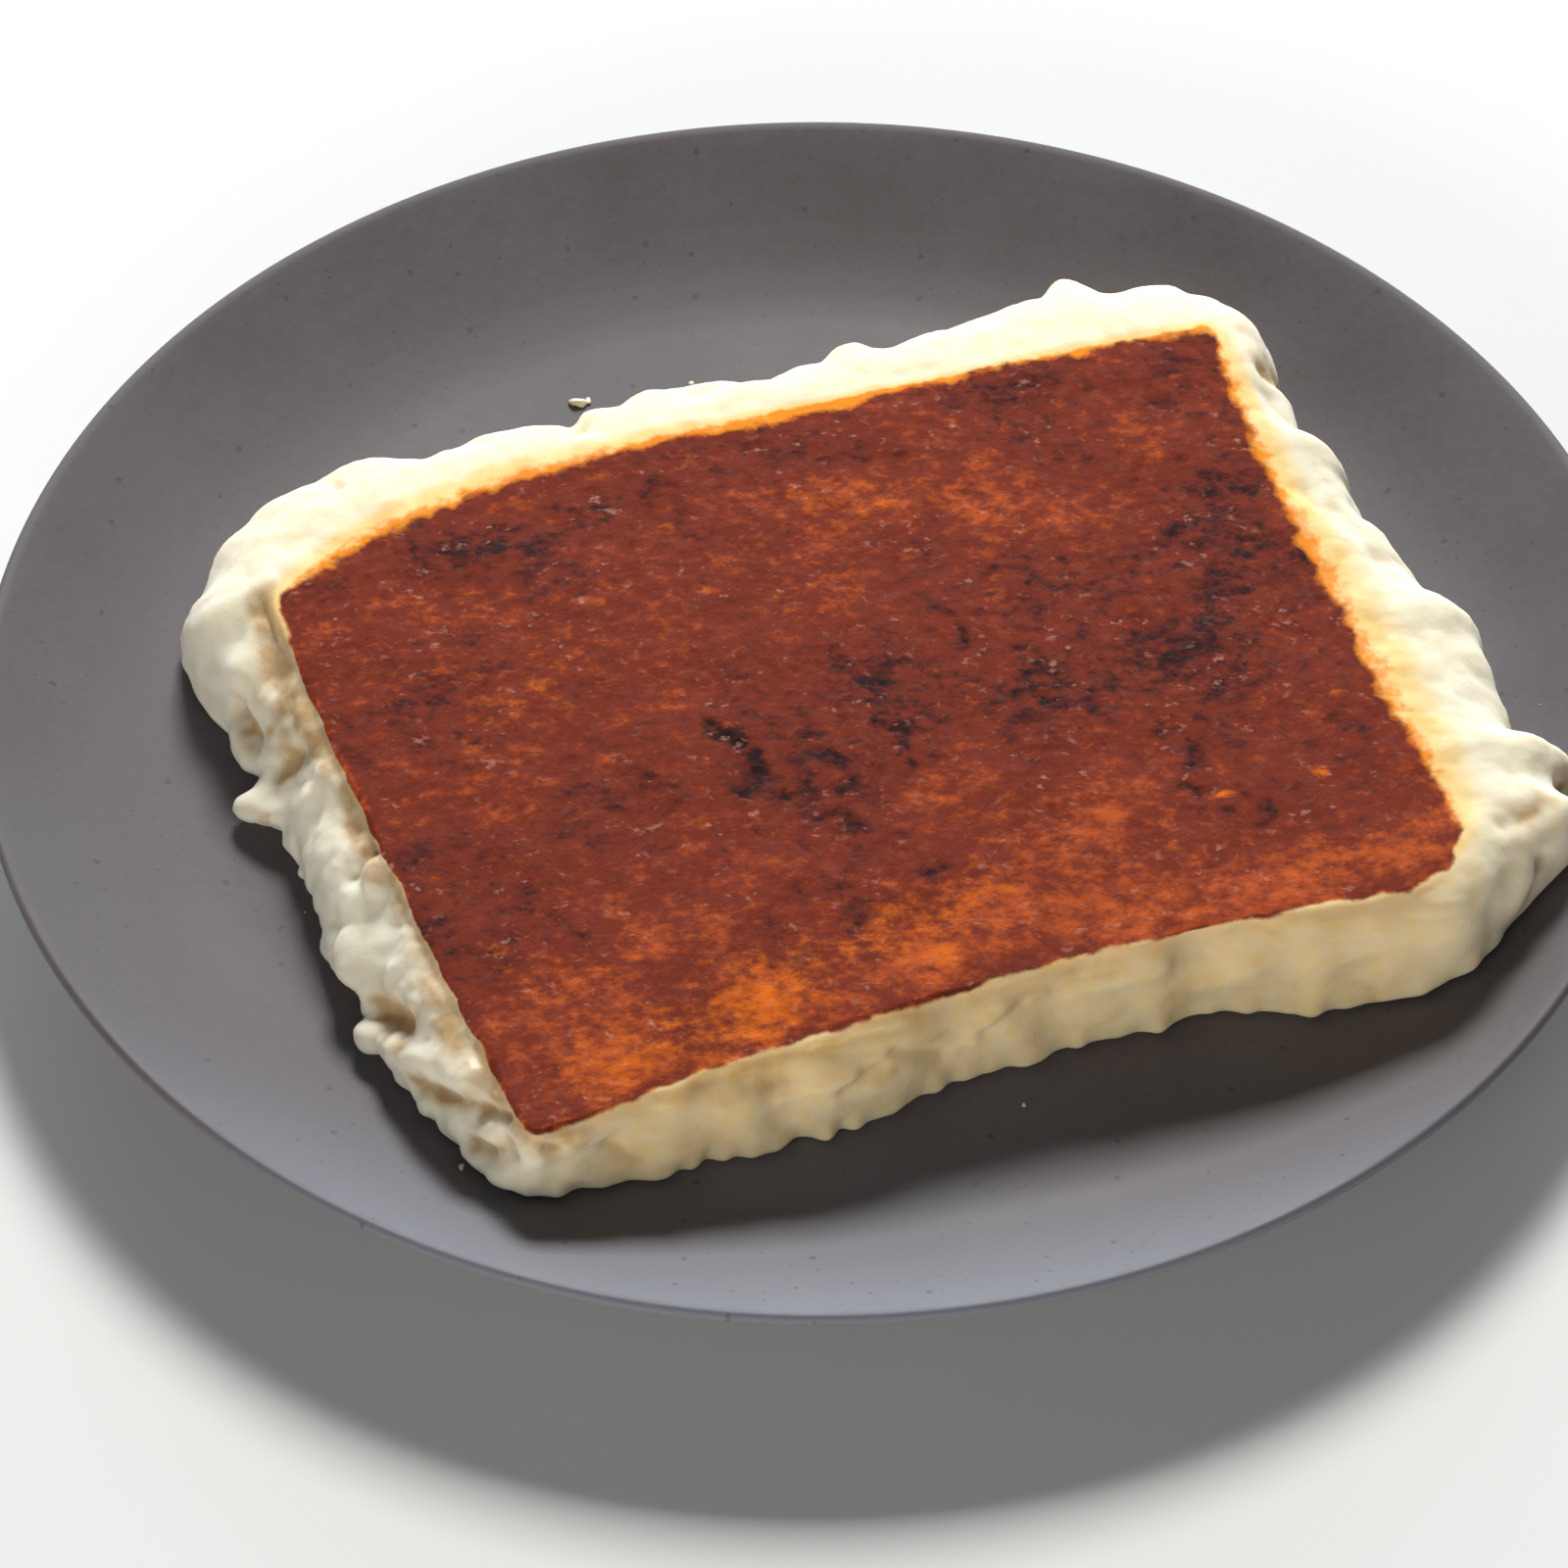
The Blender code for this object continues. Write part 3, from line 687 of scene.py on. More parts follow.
def mottle_group():
    """Soft cloudy change from one colour to another at two sizes."""
    name = "Mottle"
    if name in bpy.data.node_groups:
        return bpy.data.node_groups[name]
    tree, start, end = new_group(name, (
        ("Vector", "Vector", None), ("Size", "Float", 10.0), ("Fine Size", "Float", 1.0),
        ("Color", "Color", None), ("Second Color", "Color", None), ("Amount", "Float", 0.5),
    ), (("Color", "Color"), ("Cloud", "Float")))
    coarse = noise_at(tree, start.outputs["Vector"], start.outputs["Size"], detail=3.0)
    fine = noise_at(tree, start.outputs["Vector"], start.outputs["Fine Size"], detail=3.0, roughness=0.6)
    coarse_share, fine_share = CLOUD_SHARES
    cloud = maths(tree, "MULTIPLY_ADD", coarse, coarse_share, maths(tree, "MULTIPLY", fine, fine_share))
    cloud = between(tree, cloud, *CLOUD_RAMP)
    share = maths(tree, "MULTIPLY", cloud, start.outputs["Amount"])
    fill_input(tree, end.inputs["Color"],
               blended(tree, share, start.outputs["Color"], start.outputs["Second Color"]))
    fill_input(tree, end.inputs["Cloud"], cloud)
    return tree


def grain_group():
    """Fine uneven relief: rounded grains over a coarser swell, sizes in millimetres."""
    name = "Grain"
    if name in bpy.data.node_groups:
        return bpy.data.node_groups[name]
    tree, start, end = new_group(name, (
        ("Vector", "Vector", None), ("Size", "Float", 0.6), ("Swell Size", "Float", 2.5),
        ("Swell", "Float", 1.0),
    ), (("Height", "Float"),))
    fine = noise_at(tree, start.outputs["Vector"], start.outputs["Size"], detail=3.0, roughness=0.55)
    swell = noise_at(tree, start.outputs["Vector"], start.outputs["Swell Size"], detail=2.0)
    height = maths(tree, "ADD", fine, maths(tree, "MULTIPLY", swell, start.outputs["Swell"]))
    fill_input(tree, end.inputs["Height"], height)
    return tree


def browning_group():
    """Colour of milk pudding from its crust to its soft side, with the ragged line between them."""
    name = "Browning"
    if name in bpy.data.node_groups:
        return bpy.data.node_groups[name]
    tree, start, end = new_group(name, (
        ("Vector", "Vector", None),
        ("Edge Distance", "Float", 5.0),
        ("Raggedness", "Float", 0.3),
        ("Scorch", "Float", 0.0),
        ("Golden", "Float", 0.0),
        ("Seeping", "Float", 0.0),
        ("Hollow", "Float", 0.0),
        ("Cream", "Color", None),
        ("Deep Cream", "Color", None),
        ("Peach", "Color", None),
        ("Amber", "Color", None),
        ("Golden Crust", "Color", None),
        ("Crust", "Color", None),
        ("Light Crust", "Color", None),
        ("Scorched Crust", "Color", None),
        ("Fleck", "Color", None),
    ), (("Color", "Color"), ("Crusted", "Float")))
    given = start.outputs
    place = given["Vector"]

    def centred(size, swing, at=place, **more):
        """Noise that swings by about so much each way round 0."""
        around = maths(tree, "SUBTRACT", noise_at(tree, at, size, **more), 0.5)
        return maths(tree, "MULTIPLY", around, 4.0 * swing)

    jag = maths(tree, "ADD", centred(**FINE_JAG), centred(**BROAD_JAG))
    inside = maths(tree, "MULTIPLY_ADD", jag, given["Raggedness"], given["Edge Distance"])
    outer = maths(tree, "MULTIPLY_ADD", given["Seeping"], *CRUST_FADES_OUT)
    inner = maths(tree, "MULTIPLY_ADD", given["Seeping"], *CRUST_IS_WHOLE)
    crusted = between(tree, inside, outer, inner)

    streaky = add_node(tree, "VectorMath", {0: place, 1: STREAKING}, operation="MULTIPLY")
    streaky = streaky.outputs["Vector"]
    fine = maths(tree, "ADD", centred(at=streaky, **FINE_MOTTLING), centred(at=streaky, **GRAIN_MOTTLING))
    least, gain, most = MOTTLING_STRENGTH
    strength = maths(tree, "MINIMUM", maths(tree, "MULTIPLY_ADD", given["Scorch"], gain, least), most)
    level = maths(tree, "MULTIPLY_ADD", fine, strength, centred(**BROAD_MOTTLING))
    level = maths(tree, "MULTIPLY_ADD", given["Scorch"], SCORCH_AND_PIT_SHADE_WEIGHT, level)
    margin_width, margin_strength = GOLDEN_MARGIN
    margin = maths(tree, "SUBTRACT", 1.0, between(tree, inside, 0.0, margin_width))
    gold = maths(tree, "ADD", centred(**BROAD_GOLD), centred(at=streaky, **FINE_GOLD))
    gold = maths(tree, "MULTIPLY_ADD", margin, margin_strength, gold)
    gold = maths(tree, "MULTIPLY_ADD", given["Golden"], GOLDEN_WEIGHT, gold)
    crust = blended(tree, between(tree, level, *LIGHT_RAMP), given["Crust"], given["Light Crust"])
    crust = blended(tree, between(tree, gold, *GOLDEN_RAMP), crust, given["Golden Crust"])
    crust = blended(tree, between(tree, level, *SCORCHED_RAMP), crust, given["Scorched Crust"])
    # Painted highlights: pale flecks in place of the crust's glints.
    glint = between(tree, noise_at(tree, streaky, **PAINTED_GLINTS), *GLINT_RAMP)
    glint_zone = between(tree, noise_at(tree, place, **GLINT_ZONES), *CLOUD_RAMP)
    glint = maths(tree, "MULTIPLY", maths(tree, "MULTIPLY", glint, glint_zone), GLINT_STRENGTH)
    crust = blended(tree, glint, crust, given["Fleck"])

    # Painted shade and tan: this value holds the sides' own tan tone and the shade painted into recesses,
    # creases and under the browned edge.
    tan_and_shade_share = maths(tree, "MULTIPLY", given["Hollow"], maths(tree, "ADD", 1.0, centred(**TAN_AND_SHADE_PATCHES)))
    pudding = blended(tree, tan_and_shade_share, given["Cream"], given["Deep Cream"])
    # Seeped caramel colour, and a painted glow of the light behind shining through the thin edge.
    seeped_and_glowing = maths(tree, "MULTIPLY_ADD", centred(**SEEPING_AND_GLOW_PATCHES), given["Seeping"], given["Seeping"])
    pudding = blended(tree, between(tree, seeped_and_glowing, *PEACH_RAMP), pudding, given["Peach"])
    pudding = blended(tree, between(tree, seeped_and_glowing, *AMBER_RAMP), pudding, given["Amber"])

    fill_input(tree, end.inputs["Color"], blended(tree, crusted, pudding, crust))
    fill_input(tree, end.inputs["Crusted"], crusted)
    return tree


def attribute(tree, name):
    return add_node(tree, "Attribute", attribute_name=name).outputs["Fac"]


def browned_color(tree, place, settings):
    """The browning effect placed in a material, fed by the pudding's own attributes."""
    return placed_group(tree, browning_group(), {
        "Vector": place,
        "Edge Distance": attribute(tree, "edge_distance"),
        "Raggedness": attribute(tree, "raggedness"),
        "Scorch": attribute(tree, "scorch"),
        "Golden": attribute(tree, "golden"),
        "Seeping": attribute(tree, "seeping"),
        "Hollow": attribute(tree, "hollow"),
        "Cream": opaque(settings.cream_color),
        "Deep Cream": opaque(settings.tan_and_shade_color),
        "Peach": opaque(settings.peach_color),
        "Amber": opaque(settings.amber_color),
        "Golden Crust": opaque(settings.ember_color),
        "Crust": opaque(settings.crust_color),
        "Light Crust": opaque(settings.light_color),
        "Scorched Crust": opaque(settings.scorched_color),
        "Fleck": opaque(settings.glint_fleck_color),
    })


# ---------------------------------------------------------------- materials

# Specks of the glaze: cell size and radius in millimetres, and strength.
SPECKS = ((7.0, 0.45, 0.40), (3.0, 0.26, 0.28))
SPECK_EDGE = 0.015
SPECK_RAGGEDNESS = (0.4, 0.08)  # size in millimetres, and strength as a share of a cell
SPECK_DRAW = (0.5, 0.51)  # about half of the cells have a speck
FRONT_SHEEN_FROM_Y, FRONT_SHEEN_TO_Y = -0.045, -0.105  # painted reflection: the glaze is painted paler and bluish towards the front rim, in place of the bluish window light that rim catches
GLAZE_UNEVENNESS = 0.10  # of the glaze's roughness
GLAZE_SPECULAR = 0.25
FOOD_SPECULAR = 0.06
CRUST_UNEVENNESS = (2.4, 0.3)  # of the crust's roughness: size in millimetres, and strength
MOIST_SPOTS = (1.6, 0.56, 0.72)  # size in millimetres, then the noise at which they begin and are full
WET_SPOTS = (3.0, 0.30, 0.70)
WATER_IOR = 1.4
CRUST_COAT_ROUGHNESS = 0.5
MILKY_RADIUS = (1.0, 0.75, 0.50)  # how far red, green and blue light go, as shares of the depth
MILKY_DEPTH = 0.0018
FLOOR_ROUGHNESS = 0.85


def stoneware_material(settings):
    material, tree, shader, place = new_material("stoneware glaze")
    mottle = placed_group(tree, mottle_group(), {
        "Vector": place, "Size": 22.0, "Fine Size": 1.6, "Color": opaque(settings.clay_color),
        "Second Color": opaque(settings.pale_color), "Amount": 0.8})
    depth = add_node(tree, "SeparateXYZ", {"Vector": place}).outputs["Y"]
    # Painted reflection: the plate is painted paler and bluish towards its front rim.
    front_sheen = between(tree, depth, FRONT_SHEEN_FROM_Y, FRONT_SHEEN_TO_Y)
    color = blended(tree, front_sheen, mottle.outputs["Color"], opaque(settings.front_sheen_color))
    for cell_size, radius, strength in SPECKS:
        color = blended(tree, speck_share(tree, place, cell_size, radius, strength), color,
                        opaque(settings.speck_color))
    fill_input(tree, shader.inputs["Base Color"], color)
    shader.inputs["Specular IOR Level"].default_value = GLAZE_SPECULAR
    smoothest = settings.roughness - GLAZE_UNEVENNESS / 2
    roughness = maths(tree, "MULTIPLY_ADD", mottle.outputs["Cloud"], GLAZE_UNEVENNESS, smoothest)
    fill_input(tree, shader.inputs["Roughness"], roughness)
    add_relief(tree, shader, place, strength=0.5, height=0.00004, size=0.35, swell_size=1.8, swell=1.2)
    return material


def speck_share(tree, place, cell_size, radius, strength):
    """A mask of round specks, at most one to a cell, sizes in millimetres."""
    cells = add_node(tree, "TexVoronoi", {"Vector": place, "Scale": 1.0 / (cell_size * MILLIMETRE),
                                          "Randomness": 1.0}, voronoi_dimensions="2D")
    draw = add_node(tree, "SeparateColor", {"Color": cells.outputs["Color"]})
    size = maths(tree, "MULTIPLY", draw.outputs["Red"], radius / cell_size)
    ragged_size, raggedness = SPECK_RAGGEDNESS
    ragged = maths(tree, "SUBTRACT", noise_at(tree, place, ragged_size), 0.5)
    distance = maths(tree, "MULTIPLY_ADD", ragged, raggedness, cells.outputs["Distance"])
    inside = maths(tree, "SUBTRACT", size, distance)
    mask = between(tree, inside, -SPECK_EDGE, SPECK_EDGE)
    some = between(tree, draw.outputs["Green"], *SPECK_DRAW)
    return maths(tree, "MULTIPLY", maths(tree, "MULTIPLY", mask, some), strength)


def crust_material(settings):
    material, tree, shader, place = new_material("browned crust")
    browning = browned_color(tree, place, settings)
    fill_input(tree, shader.inputs["Base Color"], browning.outputs["Color"])
    add_relief(tree, shader, place, strength=0.8, height=0.00013, size=0.55, swell_size=1.7)
    uneven_size, unevenness = CRUST_UNEVENNESS
    uneven = maths(tree, "SUBTRACT", noise_at(tree, place, uneven_size, detail=3.0), 0.5)
    roughness = maths(tree, "MULTIPLY_ADD", uneven, unevenness, settings.crust_roughness)
    fill_input(tree, shader.inputs["Roughness"], roughness)
    moist_size, *moist_ramp = MOIST_SPOTS
    moist = between(tree, noise_at(tree, place, moist_size, detail=2.0), *moist_ramp)
    fill_input(tree, shader.inputs["Coat Weight"], maths(tree, "MULTIPLY", moist, settings.moisture))
    shader.inputs["Coat Roughness"].default_value = CRUST_COAT_ROUGHNESS
    shader.inputs["Specular IOR Level"].default_value = FOOD_SPECULAR
    return material


def cream_material(settings):
    material, tree, shader, place = new_material("milk pudding")
    browning = browned_color(tree, place, settings)
    fill_input(tree, shader.inputs["Base Color"], browning.outputs["Color"])
    add_relief(tree, shader, place, strength=0.7, height=0.00010, size=0.7, swell_size=2.4)
    shader.inputs["Roughness"].default_value = settings.crust_roughness
    wet_size, *wet_ramp = WET_SPOTS
    wet = between(tree, noise_at(tree, place, wet_size, detail=3.0), *wet_ramp)
    bare = maths(tree, "SUBTRACT", 1.0, browning.outputs["Crusted"])
    wet = maths(tree, "MULTIPLY", maths(tree, "MULTIPLY", wet, bare), attribute(tree, "wet"))
    fill_input(tree, shader.inputs["Coat Weight"], wet)
    shader.inputs["Coat Roughness"].default_value = settings.cream_roughness
    shader.inputs["Coat IOR"].default_value = WATER_IOR
    shader.inputs["Specular IOR Level"].default_value = FOOD_SPECULAR
    make_milky(shader)
    return material


def make_milky(shader):
    """Light that goes a little way into the pudding, red light furthest."""
    shader.inputs["Subsurface Weight"].default_value = 1.0
    shader.inputs["Subsurface Radius"].default_value = MILKY_RADIUS
    shader.inputs["Subsurface Scale"].default_value = MILKY_DEPTH


def crumb_material(settings):
    material, tree, shader, place = new_material("pudding crumb")
    mottle = placed_group(tree, mottle_group(), {
        "Vector": place, "Size": 1.5, "Fine Size": 0.4, "Color": opaque(settings.cream_color),
        "Second Color": opaque(settings.peach_color), "Amount": 0.4})
    browned = attribute(tree, "browned")
    color = blended(tree, browned, mottle.outputs["Color"], opaque(settings.ember_color))
    fill_input(tree, shader.inputs["Base Color"], color)
    add_relief(tree, shader, place, strength=0.6, height=0.00006, size=0.3, swell_size=0.8, swell=0.8)
    shader.inputs["Roughness"].default_value = settings.cream_roughness
    return material


def floor_material(settings):
    material, tree, shader, place = new_material("pale floor")
    paler = tuple(mix(value, 1.0, 0.1) for value in settings.floor_color)
    mottle = placed_group(tree, mottle_group(), {
        "Vector": place, "Size": 180.0, "Fine Size": 30.0, "Color": opaque(settings.floor_color),
        "Second Color": opaque(paler), "Amount": 0.3})
    fill_input(tree, shader.inputs["Base Color"], mottle.outputs["Color"])
    shader.inputs["Roughness"].default_value = FLOOR_ROUGHNESS
    return material


# ---------------------------------------------------------------- plate


def plate_top(radius):
    """Height of the plate's upper surface at a distance from its centre."""
    rim_radius = PLATE_RADIUS - LIP_RADIUS
    share = min(max((radius - WELL_RADIUS) / (rim_radius - WELL_RADIUS), 0.0), 1.0)
    rise = PLATE_HEIGHT - WELL_FLOOR_Z
    return WELL_FLOOR_Z + rise * ((1.0 + RIM_CURVE) * share ** 2 - RIM_CURVE * share ** 3)


def turned_ring(radius, ring_height):
    """Height of the faint rings that a turning tool leaves, uneven from ring to ring."""
    return ring_height * sum(share * noise.noise((radius / spacing, draw, 0.0))
                             for spacing, share, draw in TURNED_RINGS)


def plate_profile(ring_height):
    """Half section from the well's centre out over the lip and back under the foot to the axis."""
    rim_radius = PLATE_RADIUS - LIP_RADIUS
    last_radius = rim_radius - LIP_RADIUS
    points = [(0.0, WELL_FLOOR_Z)]
    well_steps = round(RIM_STEPS * WELL_RADIUS / (last_radius - WELL_RADIUS))
    for step in range(1, well_steps):
        radius = WELL_RADIUS * step / well_steps
        points.append((radius, WELL_FLOOR_Z + turned_ring(radius, ring_height)))
    for step in range(RIM_STEPS):
        radius = mix(WELL_RADIUS, last_radius, step / (RIM_STEPS - 1))
        points.append((radius, plate_top(radius) + turned_ring(radius, ring_height)))
    for step in range(LIP_STEPS):
        angle = math.radians(LIP_SWEEP * (0.5 - step / (LIP_STEPS - 1)))
        points.append((rim_radius + LIP_RADIUS * math.cos(angle),
                       PLATE_HEIGHT - LIP_RADIUS + LIP_RADIUS * math.sin(angle)))
    for step in range(RIM_STEPS - 2, 0, -1):
        share = step / (RIM_STEPS - 1)
        radius = mix(WELL_RADIUS, rim_radius, share)
        points.append((radius, plate_top(radius) - mix(WALL_THICKNESS, 2.0 * LIP_RADIUS, share ** 2)))
    under_z = WELL_FLOOR_Z - WALL_THICKNESS
    centre_z = under_z - CENTRE_THICKENING
    foot_inner_radius = FOOT_OUTER_RADIUS - FOOT_WIDTH
    points += [
        (FOOT_OUTER_RADIUS + FOOT_FLARE, under_z),
        (FOOT_OUTER_RADIUS, FOOT_ROUNDING),
        (FOOT_OUTER_RADIUS - FOOT_ROUNDING, 0.0),
        (foot_inner_radius + FOOT_ROUNDING, 0.0),
        (foot_inner_radius, FOOT_ROUNDING),
        (foot_inner_radius - 0.5 * FOOT_FLARE, centre_z),
        (0.0, centre_z),
    ]
    return points


def new_piece(name, mesh):
    piece = bpy.data.objects.new(name, mesh)
    bpy.context.scene.collection.objects.link(piece)
    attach(piece, BODY)
    return piece


class KAZANDIBI_OT_plate(Operator):
    """Turn the stoneware plate from its profile"""

    bl_idname = "kazandibi.plate"
    bl_label = "Make Plate"

    def execute(self, context):
        settings = context.scene.kazandibi_plate
        mesh = bpy.data.meshes.new("stoneware_plate")
        points = [Vector((radius, 0.0, height)) for radius, height in plate_profile(settings.ring_height)]
        edges = [(index, index + 1) for index in range(len(points) - 1)]
        mesh.from_pydata(points, edges, [])
        plate = new_piece("stoneware_plate", mesh)
        turn = plate.modifiers.new("turn", "SCREW")
        turn.steps = turn.render_steps = settings.segments
        turn.use_merge_vertices = True
        turn.merge_threshold = 0.00001
        turn.use_smooth_shade = True
        mesh.materials.append(stoneware_material(settings))
        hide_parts("plate")
        return {"FINISHED"}


# ---------------------------------------------------------------- pudding, its main form


def bowed(start, end, share, bow, skew=1.0):
    """A point on a level edge between two corners that bulges to its left by up to bow."""
    start, end = Vector(start), Vector(end)
    along = end - start
    sideways = Vector((-along.y, along.x, 0.0)).normalized()
    return start + along * share + sideways * bow * math.sin(math.pi * share ** skew)


def round_corner(across, down):
    """Shares of the face with each corner of the unit square drawn in onto an arc."""
    for right, front, radius in zip((0, 1, 1, 0), (0, 0, 1, 1), CORNER_RADII):
        p = abs(right - across) * FACE_LENGTH / radius
        q = abs(front - down) * FACE_WIDTH / radius
        if p < 1.0 and q < 1.0:
            new_p = 1.0 - (1.0 - p) * math.sqrt(1.0 - (1.0 - q) ** 2 / 2.0)
            new_q = 1.0 - (1.0 - q) * math.sqrt(1.0 - (1.0 - p) ** 2 / 2.0)
            return (abs(right - new_p * radius / FACE_LENGTH), abs(front - new_q * radius / FACE_WIDTH))
    return across, down


def face_point(across, down):
    """A point of the browned face: across from left to right, down from the back edge to the front."""
    across, down = round_corner(across, down)
    back = bowed(CORNER_BACK_LEFT, CORNER_BACK_RIGHT, across, BACK_EDGE_BOW, BACK_BOW_SKEW)
    front = bowed(CORNER_FRONT_LEFT, CORNER_FRONT_RIGHT, across, -FRONT_EDGE_BOW)
    point = back.lerp(front, down)
    point.x += RIGHT_EDGE_BOW * across * math.sin(math.pi * down ** RIGHT_BOW_SKEW)
    point.x -= LEFT_EDGE_BOW * (1.0 - across) * math.sin(math.pi * down)
    point.z += FACE_DOME * math.sin(math.pi * across) * math.sin(math.pi * down)
    point.z += FACE_RELIEF * noise.noise(point / FACE_RELIEF_SPACING)
    return point


def perimeter_point(station):
    """A point on the browned face's outline. Stations run 0 to 4 clockwise from the back left corner."""
    side, share = int(station) % 4, station % 1.0
    if side == 0:
        return face_point(share, 0.0)
    if side == 1:
        return face_point(1.0, share)
    if side == 2:
        return face_point(1.0 - share, 1.0)
    return face_point(0.0, 1.0 - share)


def outward(station):
    """Level unit vector pointing away from the face, its turn at a corner spread over CORNER_FAN."""
    before = perimeter_point((station - CORNER_FAN) % 4.0)
    after = perimeter_point((station + CORNER_FAN) % 4.0)
    along = after - before
    return Vector((-along.y, along.x, 0.0)).normalized()


def round_trip(values, station):
    """A smooth closed curve through values spaced evenly over the four sides (Catmull-Rom)."""
    place = station / 4.0 * len(values)
    index, share = int(place), place % 1.0
    a, b, c, d = (values[(index + offset) % len(values)] for offset in (-1, 0, 1, 2))
    return 0.5 * (2 * b + (c - a) * share + (2 * a - 5 * b + 4 * c - d) * share ** 2
                  + (3 * b - a - 3 * c + d) * share ** 3)


def side_value(values, station):
    """One value for each side, blended round the corners."""
    place = (station - 0.5) % 4.0
    index, share = int(place), place % 1.0
    return mix(values[index], values[(index + 1) % 4], smooth_step((share - 0.5) * 4.0 + 0.5))


def foot_spread(station):
    """How far past the browned edge the foot lies, with its torn tips and ragged line."""
    return main_spread(station) + torn_reach(station)


def main_spread(station):
    ragged = noise.noise(perimeter_point(station) / RAGGED_SPACING)
    return round_trip(SPREADS, station) + RAGGED_REACH * ragged


def torn_reach(station):
    total = 0.0
    for place, reach, width in TORN_TIPS:
        away = abs(station - place)
        total += reach * math.exp(-(min(away, 4.0 - away) / width) ** 2)
    return total


def side_section(station, rows):
    """Points down the pudding's side at a station: its rows, then the rounded foot, then the underside."""
    edge = perimeter_point(station)
    direction = outward(station)
    spread, torn = main_spread(station), torn_reach(station)
    low_tip = side_value(TIP_LOWNESS, station)
    fray = FRAY_REACH * noise.noise(edge / FRAY_SPACING)
    foot_reach = spread + torn + fray
    foot = edge + direction * foot_reach
    plate_z = plate_top(math.hypot(foot.x, foot.y)) + RESTING_GAP
    foot_z = plate_z - RESTING_GAP + LIFT + EDGE_THICKNESS
    reach_power = side_value(REACH_POWERS, station)
    fall_power = side_value(FALL_POWERS, station)
    points = []
    for row in range(1, rows + 1):
        descent = row / rows
        turn = descent * math.pi / 2
        low = smooth_step((descent - TIP_START) / (1.0 - TIP_START))
        height = mix(foot_z, edge.z, math.cos(turn) ** fall_power if row < rows else 0.0)
        fringe = 1.0 - smooth_step((height - foot_z) / FRAY_HEIGHT)
        reach = spread + torn * mix(1.0, low, low_tip) + fray * fringe
        point = edge + direction * reach * math.sin(turn) ** reach_power
        point.z = height
        lump = LUMP_HEIGHT * math.sin(math.pi * descent) * noise.noise(point / LUMP_SPACING)
        points.append(point + direction * lump)
    for step in range(1, FOOT_STEPS + 1):
        turn = step / FOOT_STEPS * math.pi / 2
        point = edge + direction * (foot_reach - UNDERCUT * (1.0 - math.cos(turn)))
        point.z = mix(foot_z, plate_z, math.sin(turn))
        points.append(point)
    under_edge = points[-1]
    middle = face_point(0.5, 0.5)
    for inwards in UNDER_RINGS:
        point = under_edge.lerp(middle, inwards)
        point.z = plate_top(math.hypot(point.x, point.y)) + RESTING_GAP
        points.append(point)
    return points


def border_crossings(columns, rows):
    """Crossings round a grid's border, clockwise from the back left: column, row and station."""
    crossings = [(column, 0, column / columns) for column in range(columns)]
    crossings += [(columns, row, 1.0 + row / rows) for row in range(rows)]
    crossings += [(column, rows, 3.0 - column / columns) for column in range(columns, 0, -1)]
    crossings += [(0, row, 4.0 - row / rows) for row in range(rows, 0, -1)]
    return crossings


# ---------------------------------------------------------------- pudding, its fine form


def domes(place):
    """Rounded tops with creases between them, spaced about 1 apart: -0.5 in a crease, 0.5 on a top."""
    return max(0.5 - CURD_STEEPNESS * noise.voronoi(place)[0][0] ** 2, -0.5)


def curds(place, size):
    """Heights of soft torn curds: large, middling and small ones on a slow swell."""
    swirl_strength, swirl_spacing = CURD_SWIRL
    swell_strength, swell_spacing = CURD_SWELL
    swirl = noise.noise_vector(place / (swirl_spacing * size)) * swirl_strength
    height = swell_strength * noise.noise(place / (swell_spacing * size))
    for share, spacing in CURD_MIX:
        height += share * domes(place / (spacing * size) + swirl)
    return height


def dragged(place):
    """A place drawn together along the front side, so that what is formed there comes out long."""
    return place - FRONT_WAY * (place.dot(FRONT_WAY) * (1.0 - 1.0 / FRONT_DRAG))


def spot_on_face(across, down):
    """A place on the face laid flat, in millimetres."""
    return Vector((across * FACE_LENGTH, down * FACE_WIDTH)) / MILLIMETRE


# The flaws with their start, and the way from there to their end, laid flat.
FLAW_LINES = [(spot_on_face(*start), spot_on_face(*end) - spot_on_face(*start), half_width, depth)
              for start, end, half_width, depth in FLAWS]


def flaw_depth(across, down, place):
    """How deep pits and cracks go at a point of the face, and how dark they are painted: partly scorch,
    partly painted shade in them.
    """
    depth = 0.0
    pit_shade_and_scorch = 0.0
    spot = spot_on_face(across, down)
    for spacing, reach in FLAW_WANDERS:
        spot += noise.noise_vector(place / spacing).xy * reach
    hollow_share, hollow_width = FLAW_HOLLOW
    for start, along, half_width, deep in FLAW_LINES:
        gap = spot - start
        if gap.length > along.length + FLAW_REACH * half_width:
            continue
        share = min(max(gap.dot(along) / along.length_squared, 0.0), 1.0)
        away = (gap - along * share).length / half_width
        depth += hollow_share * deep * math.exp(-(away / hollow_width) ** 2)
        shade = sum(strength * math.exp(-(away / width) ** 2) for strength, width in FLAW_SHADES)
        pit_shade_and_scorch += min(deep, DARKEST_FLAW) * shade
    spacing, strength = FLAW_BREAKS
    broken = smooth_step(1.0 + strength * noise.noise(place / spacing))
    return depth * broken * MILLIMETRE, pit_shade_and_scorch * mix(FAINTEST_SHADE, 1.0, broken)


